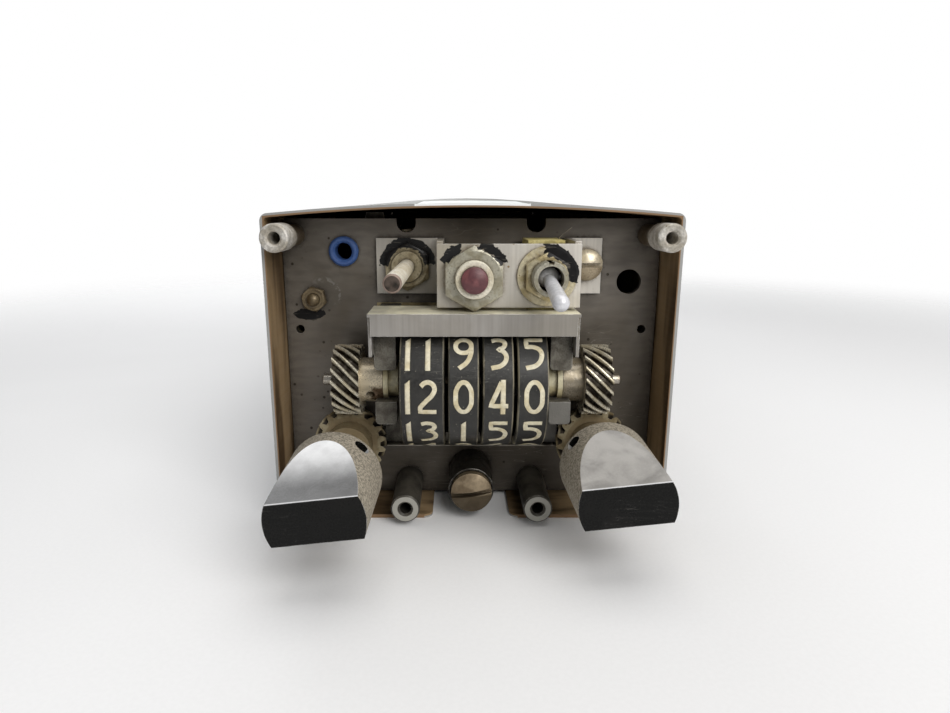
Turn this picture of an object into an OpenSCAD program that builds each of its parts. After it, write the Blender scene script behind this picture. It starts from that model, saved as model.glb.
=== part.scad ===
// Panel-mounted aircraft receiver with its front bezel taken off.
// X runs to the right, Y into the panel and Z up. The underside of the dust cover is Z = 0.

/* [Dust cover] */
// Outside width of the dust cover
cover_w = 82.5; // [78:0.5:90]
// Height of the cover's folded corners
cover_h = 64; // [62.5:0.5:68]
// Length of the cover from its front edge to its back edge
cover_len = 254; // [240:1:280]
// Thickness of the cover's sheet
cover_t = 0.8; // [0.6:0.1:1]
// Outside radius of the cover's folds
cover_r = 1.6; // [1.6:0.1:2.6]
// Rise of the top sheet's middle at both ends
crown_end = 1.9; // [0.4:0.1:2.4]
// Rise of the top sheet's middle half way along
crown_mid = 4.4; // [1.6:0.1:5]
// Gap between the two lips under the cover
lip_gap = 16.6; // [14:0.2:19]
// Corner radius of the lips' front ends
lip_corner_r = 2; // [1:0.5:4]
// Steps of the crowned sheet across
crown_steps_x = 10; // [6:2:14]
// Steps of the crowned sheet along
crown_steps_y = 10; // [6:2:14]

/* [Front plate] */
// Depth of the front plate behind the cover's front edge
plate_recess = 11.65; // [10:0.05:14]
// Thickness of the front plate
plate_t = 1.6; // [1.2:0.1:2]
// Free space between the front plate and the cover's sides
plate_side_gap = 0.25; // [0.1:0.05:0.4]
// Height of the front plate's lower edge
plate_z0 = 1.1; // [0.9:0.1:1.5]
// Height of the front plate's upper edge
plate_z1 = 62.8; // [62:0.1:63]
// Half distance between the two notches in the upper edge
notch_x = 13.75; // [12:0.25:16]
// Width of a notch
notch_w = 4.1; // [3.5:0.1:5]
// Depth of a notch
notch_depth = 2.9; // [2.2:0.1:3.3]
// Height of the drum window's lower edge
window_z0 = 12.2; // [11.9:0.1:12.6]
// Height of the drum window's upper edge
window_z1 = 45; // [44.7:0.1:45.4]
// Distance of the lamp hole from the cover's side
lamp_hole_inset = 7.25; // [6.25:0.25:8.25]
// Height of the lamp hole
lamp_hole_z = 49.5; // [48:0.5:51]
// Diameter of the lamp hole
lamp_hole_d = 5.3; // [4.5:0.1:6]
// Distance of the pin holes from the cover's sides
pin_hole_inset = 3.9; // [3.45:0.05:4.35]
// Height of the pin holes
pin_hole_z = 39.1; // [36:0.1:42]
// Diameter of a pin hole
pin_hole_d = 1.9; // [1.6:0.1:2.2]

/* [Standoffs and lock screw] */
// Length of a bezel standoff
standoff_len = 15.9; // [14:0.1:18]
// Distance of the upper standoffs from the cover's sides
upper_inset = 3.65; // [3.65:0.05:4.25]
// Height of the upper standoffs
upper_z = 59.4; // [58.8:0.1:59.8]
// Diameter of an upper standoff
upper_d = 5.5; // [5:0.1:5.6]
// Diameter of an upper standoff's neck
upper_neck_d = 4.6; // [4.2:0.1:5]
// Length of an upper standoff in front of its neck
upper_barrel = 7; // [5:0.5:12]
// Half distance between the lower standoffs
lower_x = 13.75; // [12.75:0.25:14.25]
// Height of the lower standoffs
lower_z = 4.1; // [4.1:0.1:4.6]
// Diameter of a lower standoff
lower_d = 6; // [5.5:0.1:6.2]
// Diameter of the tapped hole in a standoff
tap_d = 2.4; // [2.2:0.1:2.8]
// Depth of the tapped hole
tap_depth = 9; // [6:0.5:12]
// Mouth diameter of the tapped hole
tap_mouth_d = 3.3; // [3:0.1:3.6]
// Diameter of the swaged stud of a standoff
stud_d = 3; // [2.8:0.1:3.6]
// Height of the lock screw
lock_z = 6.5; // [6.2:0.1:7]
// Outside diameter of the lock screw's sleeve
sleeve_d = 9.6; // [9.2:0.1:10]
// Diameter of the lock screw's head
lock_head_d = 8.6; // [8:0.1:8.7]
// Length of the lock screw's head
lock_head_len = 4.9; // [4:0.1:6]
// Reach of the lock screw's head past the sleeve
lock_head_out = 2.5; // [2:0.1:3.5]
// Diameter of the lock screw's shank
lock_shank_d = 4.17; // [3.8:0.01:4.8]
// Reach of the lock screw's threaded end past the rear panel
lock_end_out = 8; // [5:0.5:12]
// Tilt of the lock screw's slot
lock_slot_deg = 8; // [0:1:45]

/* [Switch bracket] */
// Thickness of the bracket's sheet
bracket_t = 1.2; // [1:0.1:1.4]
// Reach of the bracket's face in front of the front plate
bracket_reach = 14.85; // [13.5:0.05:16]
// Left end of the bracket's left ear
ear_x0 = -20.1; // [-21:0.1:-19.5]
// Left side of the bracket's raised face
face_x0 = -6.9; // [-7.2:0.1:-6.6]
// Right side of the bracket's raised face
face_x1 = 20.8; // [20.4:0.1:21]
// Right end of the bracket's right ear
ear_x1 = 27.6; // [27.2:0.1:29]
// Height of the ears' lower edge
ear_z0 = 47.1; // [46.8:0.1:48]
// Height of the ears' upper edge
ear_z1 = 58.8; // [58.5:0.1:59.2]
// Height of the face's lower edge
face_z0 = 46.1; // [46:0.1:46.5]
// Height of the face's upper edge
face_z1 = 58.3; // [58.2:0.1:58.8]
// Place of the bracket's screw across
ear_screw_x = 24.3; // [24.3:0.1:24.6]
// Height of the bracket's screw
ear_screw_z = 53.3; // [52:0.1:54]
// Diameter of the bracket screw's head
ear_screw_head_d = 6.5; // [6:0.1:6.5]

/* [Controls] */
// Place of the volume control across
volume_x = -13.5; // [-14:0.1:-13]
// Height of the volume control
volume_z = 53; // [52:0.1:53]
// Diameter of the volume shaft
volume_shaft_d = 3.175; // [3:0.025:3.5]
// Reach of the volume shaft in front of the front plate
volume_reach = 34.95; // [30:0.05:38]
// Diameter of the volume and toggle bushings
bushing_d = 6.35; // [6:0.05:6.6]
// Width across the flats of the volume nut
volume_nut_af = 9; // [8.6:0.1:9.5]
// Diameter of the volume control's body
pot_d = 15; // [14:0.1:15.2]
// Depth of the volume control's body
pot_depth = 11; // [9:0.5:14]
// Place of the push button across
button_x = 0.25; // [0:0.05:0.5]
// Height of the push button
button_z = 51.8; // [51.7:0.1:52.4]
// Diameter of the push button
button_d = 5; // [4.6:0.1:5.2]
// Diameter of the push button's bushing
button_bushing_d = 7; // [6.8:0.1:7.4]
// Width across the flats of the push button's nut
button_nut_af = 10.9; // [10:0.1:11]
// Reach of the push button's bushing past the bracket's face
button_bushing_out = 4.1; // [3.5:0.1:5]
// Reach of the push button itself past its bushing
button_out = 1.7; // [1.6:0.1:2.5]
// Travel of the push button
button_travel = 1.5; // [1:0.1:1.5]
// Place of the toggle switch across
toggle_x = 14.2; // [14:0.1:14.5]
// Height of the toggle switch
toggle_z = 52.2; // [52.1:0.1:52.4]
// Width across the flats of the toggle nut
toggle_nut_af = 8.2; // [7.8:0.1:9]
// Diameter of the toggle washer
toggle_washer_d = 11.4; // [10.5:0.1:12]
// Reach of the toggle bushing past the bracket's face
toggle_bushing_out = 6.3; // [5.5:0.1:7]
// Mouth diameter of the toggle bushing
toggle_mouth_d = 4.8; // [4.7:0.1:5.2]
// Length of the toggle lever from its pivot to its tip
lever_len = 15.2; // [12:0.1:16]
// Diameter of the toggle lever's round end
lever_tip_d = 3; // [2.6:0.1:3.2]
// Diameter of the toggle lever at its pivot ball
lever_neck_d = 2.3; // [2:0.1:2.3]
// Tilt of the toggle lever to each side
lever_deg = 12.9; // [10:0.1:12.9]
// Sideways lean of the toggle lever
lever_lean_deg = 2; // [0:0.5:3]
// Width of the toggle switch's body
toggle_body_w = 7.1; // [6.6:0.1:7.6]
// Height of the toggle switch's body
toggle_body_h = 13.4; // [12.5:0.1:13.4]
// Distance of the trimmer from the cover's left side
trimmer_inset = 7.4; // [7.35:0.05:8.25]
// Height of the trimmer
trimmer_z = 45.8; // [45:0.1:47]
// Diameter of the trimmer's shaft
trimmer_shaft_d = 2.7; // [2.4:0.1:2.8]
// Width across the flats of the trimmer's nut
trimmer_nut_af = 4.8; // [4.6:0.1:5.2]
// Place of the grommet across
grommet_x = -27.1; // [-28:0.1:-26.8]
// Height of the grommet
grommet_z = 56; // [55:0.1:57]
// Outside diameter of the grommet
grommet_d = 6.3; // [6:0.1:6.6]
// Hole diameter of the grommet
grommet_hole_d = 3.6; // [3.2:0.1:3.8]

/* [Number drums] */
// Distance of the drum axis in front of the front plate
drum_reach = 8; // [7.9:0.1:8.4]
// Height of the drum axis
drum_z = 29.9; // [29.7:0.1:30.1]
// Diameter of a drum
drum_d = 27.26; // [26.4:0.02:27.4]
// Left side of the leftmost drum
drum_x0 = -14; // [-14.3:0.1:-13.9]
// Width of the wide drum
wide_drum_w = 8.5; // [8.2:0.1:8.6]
// Width of a narrow drum
drum_w = 5.85; // [5.6:0.05:5.9]
// Gap between two drums
drum_gap = 0.8; // [0.6:0.05:0.9]
// Wall of a drum's rim
drum_wall = 1.8; // [1.4:0.1:2.4]
// Diameter of the drum shafts
drum_shaft_d = 2.38; // [2.2:0.02:2.6]
// Distance of the drum frame's middle to the right of the panel's middle
frame_x = 0.2; // [0:0.05:0.3]
// Half distance between the inner sides of the drum frame's cheeks
cheek_x0 = 15.3; // [15:0.05:15.4]
// Half distance between the outer sides of the drum frame's cheeks
cheek_x1 = 19.65; // [19.4:0.05:19.9]
// Reach of the cheeks in front of the front plate
cheek_reach = 14.65; // [13.5:0.05:16]
// Height of the open slot in a cheek
slot_h = 6.6; // [6:0.1:7]
// Rise of the slot's middle above the drum axis
slot_rise = 0.3; // [0:0.05:0.4]
// Height of a cheek's lower jaw
jaw_h = 4.7; // [4.2:0.1:5.4]
// Diameter of a bearing's body
bearing_d = 7.6; // [7.4:0.1:8]
// Thickness of a bearing's flange
bearing_flange_t = 1; // [0.8:0.1:1.2]
// Reach of the window mask in front of the front plate
mask_reach = 18.65; // [18.2:0.05:19.2]
// Depth of the window mask's top
mask_depth = 11; // [9:0.1:13]
// Height of the window mask's top
mask_z1 = 45.4; // [45.2:0.1:45.4]
// Height of the window mask's lip
mask_lip_h = 4.3; // [3.8:0.1:4.5]
// Thickness of the window mask's sheet
mask_t = 0.6; // [0.5:0.05:0.8]
// Height of the window mask's side tabs
mask_tab_h = 8.5; // [6:0.1:9]

/* [Gears and knobs] */
// Teeth on each helical gear
gear_teeth = 18; // [16:2:20]
// Pitch diameter of a drum pinion
pinion_pd = 13.6; // [13.4:0.05:13.7]
// Pitch diameter of a drive gear
drive_pd = 14.1; // [13.9:0.05:14.3]
// Width of a drum pinion
pinion_w = 5.5; // [5:0.1:6]
// Distance of a pinion's middle from the knob shaft's middle, towards the drums
pinion_inset = 0.25; // [0:0.05:0.4]
// Width of a drive gear
drive_w = 1.8; // [1.4:0.1:2.2]
// Free play between meshing teeth
backlash = 0.2; // [0.16:0.02:0.3]
// Pressure angle of the teeth
pressure_deg = 20; // [18:0.5:22]
// Diameter of a gear's hub
hub_d = 9.2; // [8.5:0.1:9.4]
// Half distance between the knob shafts
knob_x = 25.8; // [25.5:0.1:26.2]
// Diameter of a knob shaft
knob_shaft_d = 4.76; // [4.5:0.02:5]
// Diameter of a knob at its front
knob_front_d = 16.85; // [16:0.05:17.4]
// Diameter of a knob at its back
knob_back_d = 17.6; // [17.2:0.1:18.4]
// Length of a knob
knob_len = 18; // [17:0.1:19]
// Height of the bar across a knob's front
knob_bar_h = 7.4; // [6:0.1:8]
// Length of the flats on a knob
knob_flat_len = 14; // [12:0.1:15]
// Hollow radius of the flats on a knob
knob_flat_r = 55; // [40:5:200]
// Reach of the left knob in front of the front plate
left_knob_reach = 44.55; // [43:0.05:46]
// Reach of the right knob in front of the front plate
right_knob_reach = 39.15; // [38:0.05:41]
// Tilt of both knobs at rest
knob_tilt_deg = 6.3; // [0:0.1:12]
// Diameter of a knob's set screw
set_screw_d = 3; // [2.6:0.1:3.4]

/* [Chassis and insides] */
// Thickness of the chassis sheet
tray_t = 1.2; // [1:0.1:1.4]
// Thickness of the rear panel
rear_t = 1.6; // [1.2:0.1:2]
// Depth of the rear panel's outside in from the cover's back edge
rear_recess = 3; // [2:0.5:5]
// Height of the chassis's low side walls
low_wall_z = 22; // [20:0.5:24]
// Gap between a switch deck and the chassis's side wall
deck_side_gap = 0.8; // [0.5:0.1:2]
// Distance from one switch deck to the next
deck_pitch = 16; // [12:0.5:18]
// Switch decks on each knob shaft
deck_count = 2; // [1:1:3]
// Thickness of a circuit board
board_t = 1.6; // [1.2:0.1:2]
// Height of the main board's underside
main_board_z = 14; // [12.5:0.5:15]
// Height of the crystal board's underside
crystal_board_z = 34; // [32:0.5:36]
// Diameter of the antenna jack's barrel
jack_d = 9.7; // [9.5:0.1:9.9]
// Reach of the antenna jack behind the rear panel
jack_out = 14; // [12:0.5:18]
// Width of the rear connector's body
connector_w = 40; // [34:1:44]

/* [Hidden] */
$fn = 64;

fit_gap = 0.02;
turn_gap = 0.05;
clear_gap = 0.3;

// The origin is below the middle of the whole receiver, from the left knob to the antenna jack
front_reach = left_knob_reach;
plate_y = (front_reach - (cover_len - plate_recess - rear_recess + jack_out)) / 2;
cover_y = plate_y - plate_recess;
plate_back_y = plate_y + plate_t;
rear_y = cover_y + cover_len - rear_recess;
rear_front_y = rear_y - rear_t;
inner_half_w = cover_w / 2 - cover_t - plate_side_gap;
tray_half_w = inner_half_w - tray_t;
chassis_len = rear_front_y - plate_back_y;

face_y = plate_y - bracket_reach;
face_back_y = face_y + bracket_t;
drum_y = plate_y - drum_reach;
drum_r = drum_d / 2;
units_x = drum_x0 + wide_drum_w + drum_gap;
tenths_x = units_x + drum_w + drum_gap;
hundredths_x = tenths_x + drum_w + drum_gap;
shaft_out = 3;
pinion_x = knob_x - pinion_inset;
shaft_end_x = pinion_x + pinion_w / 2 + shaft_out;
mask_half_w = cheek_x1 + mask_t;
window_gap = 0.6;
window_half_w = cheek_x1 + frame_x + window_gap;
upper_x = cover_w / 2 - upper_inset;
pin_hole_x = cover_w / 2 - pin_hole_inset;
lamp_hole_x = cover_w / 2 - lamp_hole_inset;
trimmer_x = trimmer_inset - cover_w / 2;

// Both gears of a pair lean by angles that add up to a right angle
pinion_helix = atan(pinion_pd / drive_pd);
drive_helix = 90 - pinion_helix;
normal_module = pinion_pd * cos(pinion_helix) / gear_teeth;
knob_z = drum_z - (pinion_pd + drive_pd) / 2;

// Puts a piece at a place on a front-facing plane, with its own Z pointing at the viewer
module facing(x, y, z) {
    translate([x, y, z])
        rotate([90, 0, 0])
            children();
}

// Lays a piece's own Z along X, starting at the given place
module along_x(x, y, z) {
    translate([x, y, z])
        rotate([0, 90, 0])
            children();
}

// The same piece on the left and on the right
module both_sides() {
    children();
    mirror([1, 0, 0])
        children();
}

// A ring or a bush along its own Z
module tube(d, hole_d, len) {
    difference() {
        cylinder(d = d, h = len);
        translate([0, 0, -1])
            cylinder(d = hole_d, h = len + 2);
    }
}

// A six-sided bar with two corners on its own Y axis
module hex_bar(across_flats, len) {
    rotate([0, 0, 30])
        cylinder(d = across_flats / cos(30), h = len, $fn = 6);
}

// A chamfered hexagon nut
module hex_nut(across_flats, hole_d, len, chamfer_d) {
    difference() {
        intersection() {
            hex_bar(across_flats, len);
            union() {
                cylinder(d = across_flats / cos(30) + 0.2, h = len - 0.5);
                translate([0, 0, len - 0.5])
                    cylinder(d1 = across_flats / cos(30) + 0.2, d2 = chamfer_d, h = 0.5);
            }
        }
        translate([0, 0, -1])
            cylinder(d = hole_d, h = len + 2);
    }
}

// A cylinder whose far end is domed
module domed_bar(d, len, dome_h) {
    sphere_r = (d * d / 4 + dome_h * dome_h) / (2 * dome_h);
    cylinder(d = d, h = len - dome_h);
    intersection() {
        translate([0, 0, len - 2 * dome_h])
            cylinder(d = d, h = 2 * dome_h);
        translate([0, 0, len - sphere_r])
            sphere(r = sphere_r, $fn = 96);
    }
}

// Height of the crowned sheet at a place measured from the middle and from the front edge
flat_half = cover_w / 2 - cover_r;
function crown_z(x, y) =
    cover_h + (crown_end + (crown_mid - crown_end) * sin(180 * y / cover_len)) * (1 - pow(x / flat_half, 2));
function sheet_point(i, j, drop) =
    let (x = flat_half * (2 * j / crown_steps_x - 1), y = cover_len * i / crown_steps_y)
    [x, y, crown_z(x, y) - drop];

module crowned_sheet() {
    row = crown_steps_x + 1;
    layer = row * (crown_steps_y + 1);
    points = [
        for (drop = [0, cover_t], i = [0:crown_steps_y], j = [0:crown_steps_x]) sheet_point(i, j, drop)
    ];
    across = [0:crown_steps_x - 1];
    along = [0:crown_steps_y - 1];
    upper = [
        for (i = along, j = across)
            let (a = i * row + j)
            each [[a, a + row, a + row + 1], [a, a + row + 1, a + 1]]
    ];
    lower = [for (f = upper) [f[2] + layer, f[1] + layer, f[0] + layer]];
    last = crown_steps_y * row;
    ends = [
        for (j = across)
            each [
                [j, j + 1, j + 1 + layer, j + layer],
                [last + j + 1, last + j, last + j + layer, last + j + 1 + layer]
            ]
    ];
    sides = [
        for (i = along)
            let (a = i * row, b = a + crown_steps_x)
            each [
                [a + row, a, a + layer, a + row + layer],
                [b, b + row, b + row + layer, b + layer]
            ]
    ];
    polyhedron(points, concat(upper, lower, ends, sides));
}

sheet_lap = 0.2;

// Section of one side of the cover: fold, side wall, lower fold and lip
module cover_side_section() {
    half = cover_w / 2;
    difference() {
        half_box_outline(half, 0, cover_h, cover_r);
        half_box_outline(half - cover_t, cover_t, cover_h - cover_t, cover_r - cover_t);
        translate([-1, cover_t])
            square([flat_half + 1 - sheet_lap, cover_h]);
        translate([-1, -1])
            square([lip_gap / 2 + 1, cover_h + 2]);
    }
}

// Right half of a box section with rounded outer corners
module half_box_outline(half, z0, z1, r) {
    translate([0, z0])
        square([half - r, z1 - z0]);
    translate([0, z0 + r])
        square([half, z1 - z0 - 2 * r]);
    for (z = [z0 + r, z1 - r])
        translate([half - r, z])
            circle(r = r);
}

cover_screw_front = 42;
cover_screw_rear = 26;
cover_screw_y = [cover_screw_front, cover_len - cover_screw_rear];
cover_screw_z = 12;
cover_screw_d = 2.8;
cover_screw_head_d = 4.4;

// Countersunk screw shape along its own Z, its flat head's face at Z = 0
module flush_screw(grow) {
    translate([0, 0, -cover_t])
        cylinder(d1 = cover_screw_d + grow, d2 = cover_screw_head_d + grow, h = cover_t);
    translate([0, 0, -cover_t - tray_t - plate_side_gap - 2])
        cylinder(d = cover_screw_d + grow, h = tray_t + plate_side_gap + 2.1);
}

module at_cover_screws() {
    both_sides()
        for (y = cover_screw_y)
            translate([cover_w / 2, cover_y + y, cover_screw_z])
                rotate([0, 90, 0])
                    children();
}

module dust_cover() {
    color("lightgray")
        difference() {
            union() {
                translate([0, cover_y, 0])
                    crowned_sheet();
                both_sides()
                    translate([0, cover_y + cover_len, 0])
                        rotate([90, 0, 0])
                            linear_extrude(cover_len)
                                cover_side_section();
            }
            both_sides()
                translate([lip_gap / 2, cover_y, -1])
                    lip_corner_cut();
            at_cover_screws()
                flush_screw(2 * fit_gap);
        }
}

// Rounds the inner front corner of a lip
module lip_corner_cut() {
    difference() {
        translate([-1, -1, 0])
            cube([lip_corner_r + 1, lip_corner_r + 1, cover_t + 1.5]);
        translate([lip_corner_r, lip_corner_r, -1])
            cylinder(r = lip_corner_r, h = cover_t + 4);
    }
}

module cover_screws() {
    color("silver")
        at_cover_screws()
            difference() {
                flush_screw(0);
                translate([-cover_screw_head_d, -0.3, -0.5])
                    cube([2 * cover_screw_head_d, 0.6, 1]);
            }
}

panel_corner_r = 1.2;

// Outline of a plate that fills the cover from side to side, with rounded corners
module panel_outline(z0, z1) {
    translate([-1, z0])
        square([2, z1 - z0]);
    both_sides()
        half_box_outline(inner_half_w, z0, z1, panel_corner_r);
}

// Outline of the front plate with its holes, seen from the front
module plate_outline() {
    difference() {
        panel_outline(plate_z0, plate_z1);
        translate([-window_half_w, window_z0])
            square([2 * window_half_w, window_z1 - window_z0]);
        for (side = [-1, 1]) {
            translate([side * notch_x, plate_z1 - notch_depth + notch_w / 2])
                circle(d = notch_w);
            translate([side * notch_x - notch_w / 2, plate_z1 - notch_depth + notch_w / 2])
                square([notch_w, notch_depth]);
            translate([side * pin_hole_x, pin_hole_z])
                circle(d = pin_hole_d);
            translate([side * upper_x, upper_z])
                circle(d = stud_d + 2 * fit_gap);
            translate([side * lower_x, lower_z])
                circle(d = stud_d + 2 * fit_gap);
            translate([side * knob_x, knob_z])
                circle(d = bush_d + 2 * fit_gap);
        }
        translate([lamp_hole_x, lamp_hole_z])
            circle(d = lamp_hole_d);
        translate([grommet_x, grommet_z])
            circle(d = grommet_neck_d + 2 * fit_gap);
        translate([trimmer_x, trimmer_z])
            circle(d = trimmer_bush_d + 2 * fit_gap);
        translate([volume_x, volume_z])
            circle(d = bushing_d + 2 * fit_gap);
        translate([ear_screw_x, ear_screw_z])
            circle(d = ear_screw_d + 2 * fit_gap);
        translate([0, lock_z])
            circle(d = lock_shank_d + 2 * turn_gap);
    }
}

module front_plate() {
    color("dimgray")
        facing(0, plate_back_y, 0)
            linear_extrude(plate_t)
                plate_outline();
}

wall_top_z = 61.8;
tall_front_len = 84;
tall_back_len = 22;
tray_fold_r = 1.5;
flange_w = 5;
pin_flange_below = 10;
pin_flange_above = 2;
rear_flange_h = 13;
pillar_d = 6;
pillar_inset = 8;
main_board_front = 92;
main_board_rear = 8;
pillar_x = tray_half_w - pillar_inset;
main_board_y0 = plate_back_y + main_board_front;
main_board_y1 = rear_front_y - main_board_rear;
pillar_y = [main_board_y0 + pillar_inset, main_board_y1 - pillar_inset];
rear_screw_d = 2.8;
rear_screw_low = 9;
rear_screw_high = 54;

// Places of the rear panel's four screws, seen from behind
rear_screws = [
    for (side = [-1, 1], z = [rear_screw_low, rear_screw_high]) [side * (tray_half_w - flange_w / 2), z]
];

// Side view of the tray, tall at both ends and low between, drawn out to past its right side
module tray_profile() {
    slope = (wall_top_z - low_wall_z) / 2;
    rotate([90, 0, 90])
        linear_extrude(inner_half_w + 1)
            polygon([
                [plate_back_y, 0],
                [rear_front_y, 0],
                [rear_front_y, wall_top_z],
                [rear_front_y - tall_back_len, wall_top_z],
                [rear_front_y - tall_back_len - slope, low_wall_z],
                [plate_back_y + tall_front_len + slope, low_wall_z],
                [plate_back_y + tall_front_len, wall_top_z],
                [plate_back_y, wall_top_z]
            ]);
}

// Right half of the tray's section: floor, fold and side wall
module tray_section() {
    difference() {
        half_box_outline(inner_half_w, cover_t, cover_h + cover_r, tray_fold_r);
        half_box_outline(tray_half_w, cover_t + tray_t, cover_h + 2 * cover_r, tray_fold_r - tray_t);
        translate([-1, cover_t + tray_t])
            square([2, cover_h + cover_r]);
    }
}

// Right half of the folded sheet
module tray_half() {
    intersection() {
        tray_profile();
        translate([0, rear_front_y + 1, 0])
            rotate([90, 0, 0])
                linear_extrude(chassis_len + 2)
                    tray_section();
    }
}

module chassis_tray() {
    color("burlywood")
        difference() {
            union() {
                translate([-pillar_inset, plate_back_y, cover_t])
                    cube([2 * pillar_inset, chassis_len, tray_t]);
                both_sides() {
                    tray_half();
                    translate([tray_half_w - flange_w, plate_back_y, pin_hole_z - pin_flange_below])
                        cube([flange_w + 0.5, tray_t, pin_flange_below + pin_flange_above]);
                    for (z = [cover_t + tray_t / 2, wall_top_z - rear_flange_h])
                        translate([tray_half_w - flange_w, rear_front_y - tray_t, z])
                            cube([flange_w + 0.5, tray_t, rear_flange_h]);
                    for (y = pillar_y)
                        translate([pillar_x, y, cover_t])
                            cylinder(d = pillar_d, h = main_board_z - cover_t);
                }
            }
            for (side = [-1, 1])
                facing(side * pin_hole_x, plate_back_y + tray_t + 1, pin_hole_z)
                    cylinder(d = pin_hole_d, h = tray_t + 2);
            for (place = rear_screws)
                facing(place[0], rear_front_y + 1, place[1])
                    cylinder(d = rear_screw_d + 2 * fit_gap, h = tray_t + 2);
            at_cover_screws()
                flush_screw(2 * fit_gap);
        }
}

jack_x = -24;
jack_z = 42;
jack_neck_d = 8;
connector_x = 8;
connector_z = 24;
connector_h = 10;
connector_ear = 8;

module rear_panel() {
    color("silver")
        facing(0, rear_y, 0)
            linear_extrude(rear_t)
                difference() {
                    panel_outline(cover_t, wall_top_z);
                    translate([jack_x, jack_z])
                        circle(d = jack_neck_d + 2 * fit_gap);
                    translate([connector_x - connector_w / 2, connector_z - connector_h / 2])
                        square([connector_w, connector_h]);
                    translate([0, lock_z])
                        circle(d = lock_shank_d + 2 * turn_gap);
                    for (place = rear_screws)
                        translate(place)
                            circle(d = rear_screw_d + 2 * fit_gap);
                    for (side = [-1, 1])
                        translate([connector_x + side * (connector_w + connector_ear) / 2, connector_z])
                            circle(d = rear_screw_d + 2 * fit_gap);
                }
}

// Pan-head screw along its own Z, the seat of its head at Z = 0
module pan_screw(head_d, head_h, shank_d, shank_len, slot_w) {
    difference() {
        domed_bar(head_d, head_h, head_h * 0.45);
        translate([-head_d, -slot_w / 2, head_h * 0.4])
            cube([2 * head_d, slot_w, head_h]);
    }
    translate([0, 0, -shank_len])
        cylinder(d = shank_d, h = shank_len + 0.2);
}

module rear_panel_screws() {
    color("silver")
        for (place = rear_screws)
            translate([place[0], rear_y, place[1]])
                rotate([-90, 0, 0])
                    pan_screw(5.4, 1.8, rear_screw_d, rear_t + tray_t + 2, 0.8);
}

// Turned standoff with a tapped front end and a stud swaged into the plate
module standoff(d, neck_d, barrel_len) {
    difference() {
        union() {
            cylinder(d = neck_d, h = standoff_len - 1);
            translate([0, 0, standoff_len - barrel_len])
                cylinder(d = d, h = barrel_len - 0.3);
            translate([0, 0, standoff_len - 0.3])
                cylinder(d1 = d, d2 = d - 0.6, h = 0.3);
            translate([0, 0, -plate_t])
                cylinder(d = stud_d, h = plate_t + 0.1);
        }
        translate([0, 0, standoff_len - tap_depth])
            cylinder(d = tap_d, h = tap_depth + 1);
        translate([0, 0, standoff_len - (tap_mouth_d - tap_d) / 2])
            cylinder(d1 = tap_d, d2 = tap_mouth_d + 0.2, h = (tap_mouth_d - tap_d) / 2 + 0.1);
    }
}

module upper_standoffs() {
    color("gainsboro")
        for (side = [-1, 1])
            facing(side * upper_x, plate_y, upper_z)
                standoff(upper_d, upper_neck_d, upper_barrel);
}

module lower_standoffs() {
    color("gray")
        for (side = [-1, 1])
            facing(side * lower_x, plate_y, lower_z)
                standoff(lower_d, lower_d, standoff_len);
}

sleeve_wall = 0.35;
sleeve_mouth = 2.8;

module lock_screw_sleeve() {
    color("darkgray")
        facing(0, plate_y, lock_z)
            difference() {
                cylinder(d = sleeve_d, h = plate_recess);
                translate([0, 0, plate_recess - sleeve_mouth])
                    cylinder(d = sleeve_d - 2 * sleeve_wall, h = plate_recess);
                translate([0, 0, -1])
                    cylinder(d = lock_shank_d + 2 * turn_gap, h = plate_recess);
            }
}

lock_tip_d = 3.5;
lock_tip_len = 6.5;

// Captive screw from its slotted head to its thinner threaded end behind the rear panel
module lock_screw() {
    head_back = plate_recess + lock_head_out - lock_head_len;
    shank_back = rear_y - plate_y + lock_end_out - lock_tip_len;
    color("darkkhaki")
        facing(0, plate_y, lock_z) {
            difference() {
                translate([0, 0, head_back])
                    domed_bar(lock_head_d, lock_head_len, 1);
                rotate([0, 0, lock_slot_deg])
                    translate([-lock_head_d, -0.5, plate_recess + lock_head_out - 1.4])
                        cube([2 * lock_head_d, 1, 3]);
            }
            translate([0, 0, -shank_back])
                cylinder(d = lock_shank_d, h = shank_back + head_back + 0.1);
            translate([0, 0, -shank_back - lock_tip_len])
                cylinder(d = lock_tip_d, h = lock_tip_len + 0.1);
        }
}

ear_screw_d = 2.8;
washer_t = 0.6;

// Hat-shaped bracket: two ears on the plate, two sides and a raised face
module switch_bracket() {
    side_h = ear_z1 - ear_z0;
    color("silver")
        difference() {
            union() {
                translate([ear_x0, plate_y - bracket_t, ear_z0])
                    cube([face_x0 + bracket_t - ear_x0, bracket_t, side_h]);
                translate([face_x1 - bracket_t, plate_y - bracket_t, ear_z0])
                    cube([ear_x1 - face_x1 + bracket_t, bracket_t, side_h]);
                for (x = [face_x0, face_x1 - bracket_t])
                    translate([x, face_y + bracket_t / 2, ear_z0])
                        cube([bracket_t, bracket_reach - bracket_t / 2, side_h]);
                translate([face_x0, face_y, face_z0])
                    cube([face_x1 - face_x0, bracket_t, face_z1 - face_z0]);
            }
            facing(volume_x, plate_y + 1, volume_z)
                cylinder(d = bushing_d + 2 * fit_gap, h = bracket_t + 2);
            facing(ear_screw_x, plate_y + 1, ear_screw_z)
                cylinder(d = ear_screw_d + 2 * fit_gap, h = bracket_t + 2);
            facing(button_x, face_back_y + 1, button_z)
                cylinder(d = button_bushing_d + 2 * fit_gap, h = bracket_t + 2);
            facing(toggle_x, face_back_y + 1, toggle_z)
                cylinder(d = bushing_d + 2 * fit_gap, h = bracket_t + 2);
        }
}

module bracket_screw_washer() {
    color("silver")
        facing(ear_screw_x, plate_y - bracket_t, ear_screw_z)
            tube(ear_screw_head_d + 0.4, ear_screw_d + 2 * fit_gap, washer_t);
}

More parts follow.
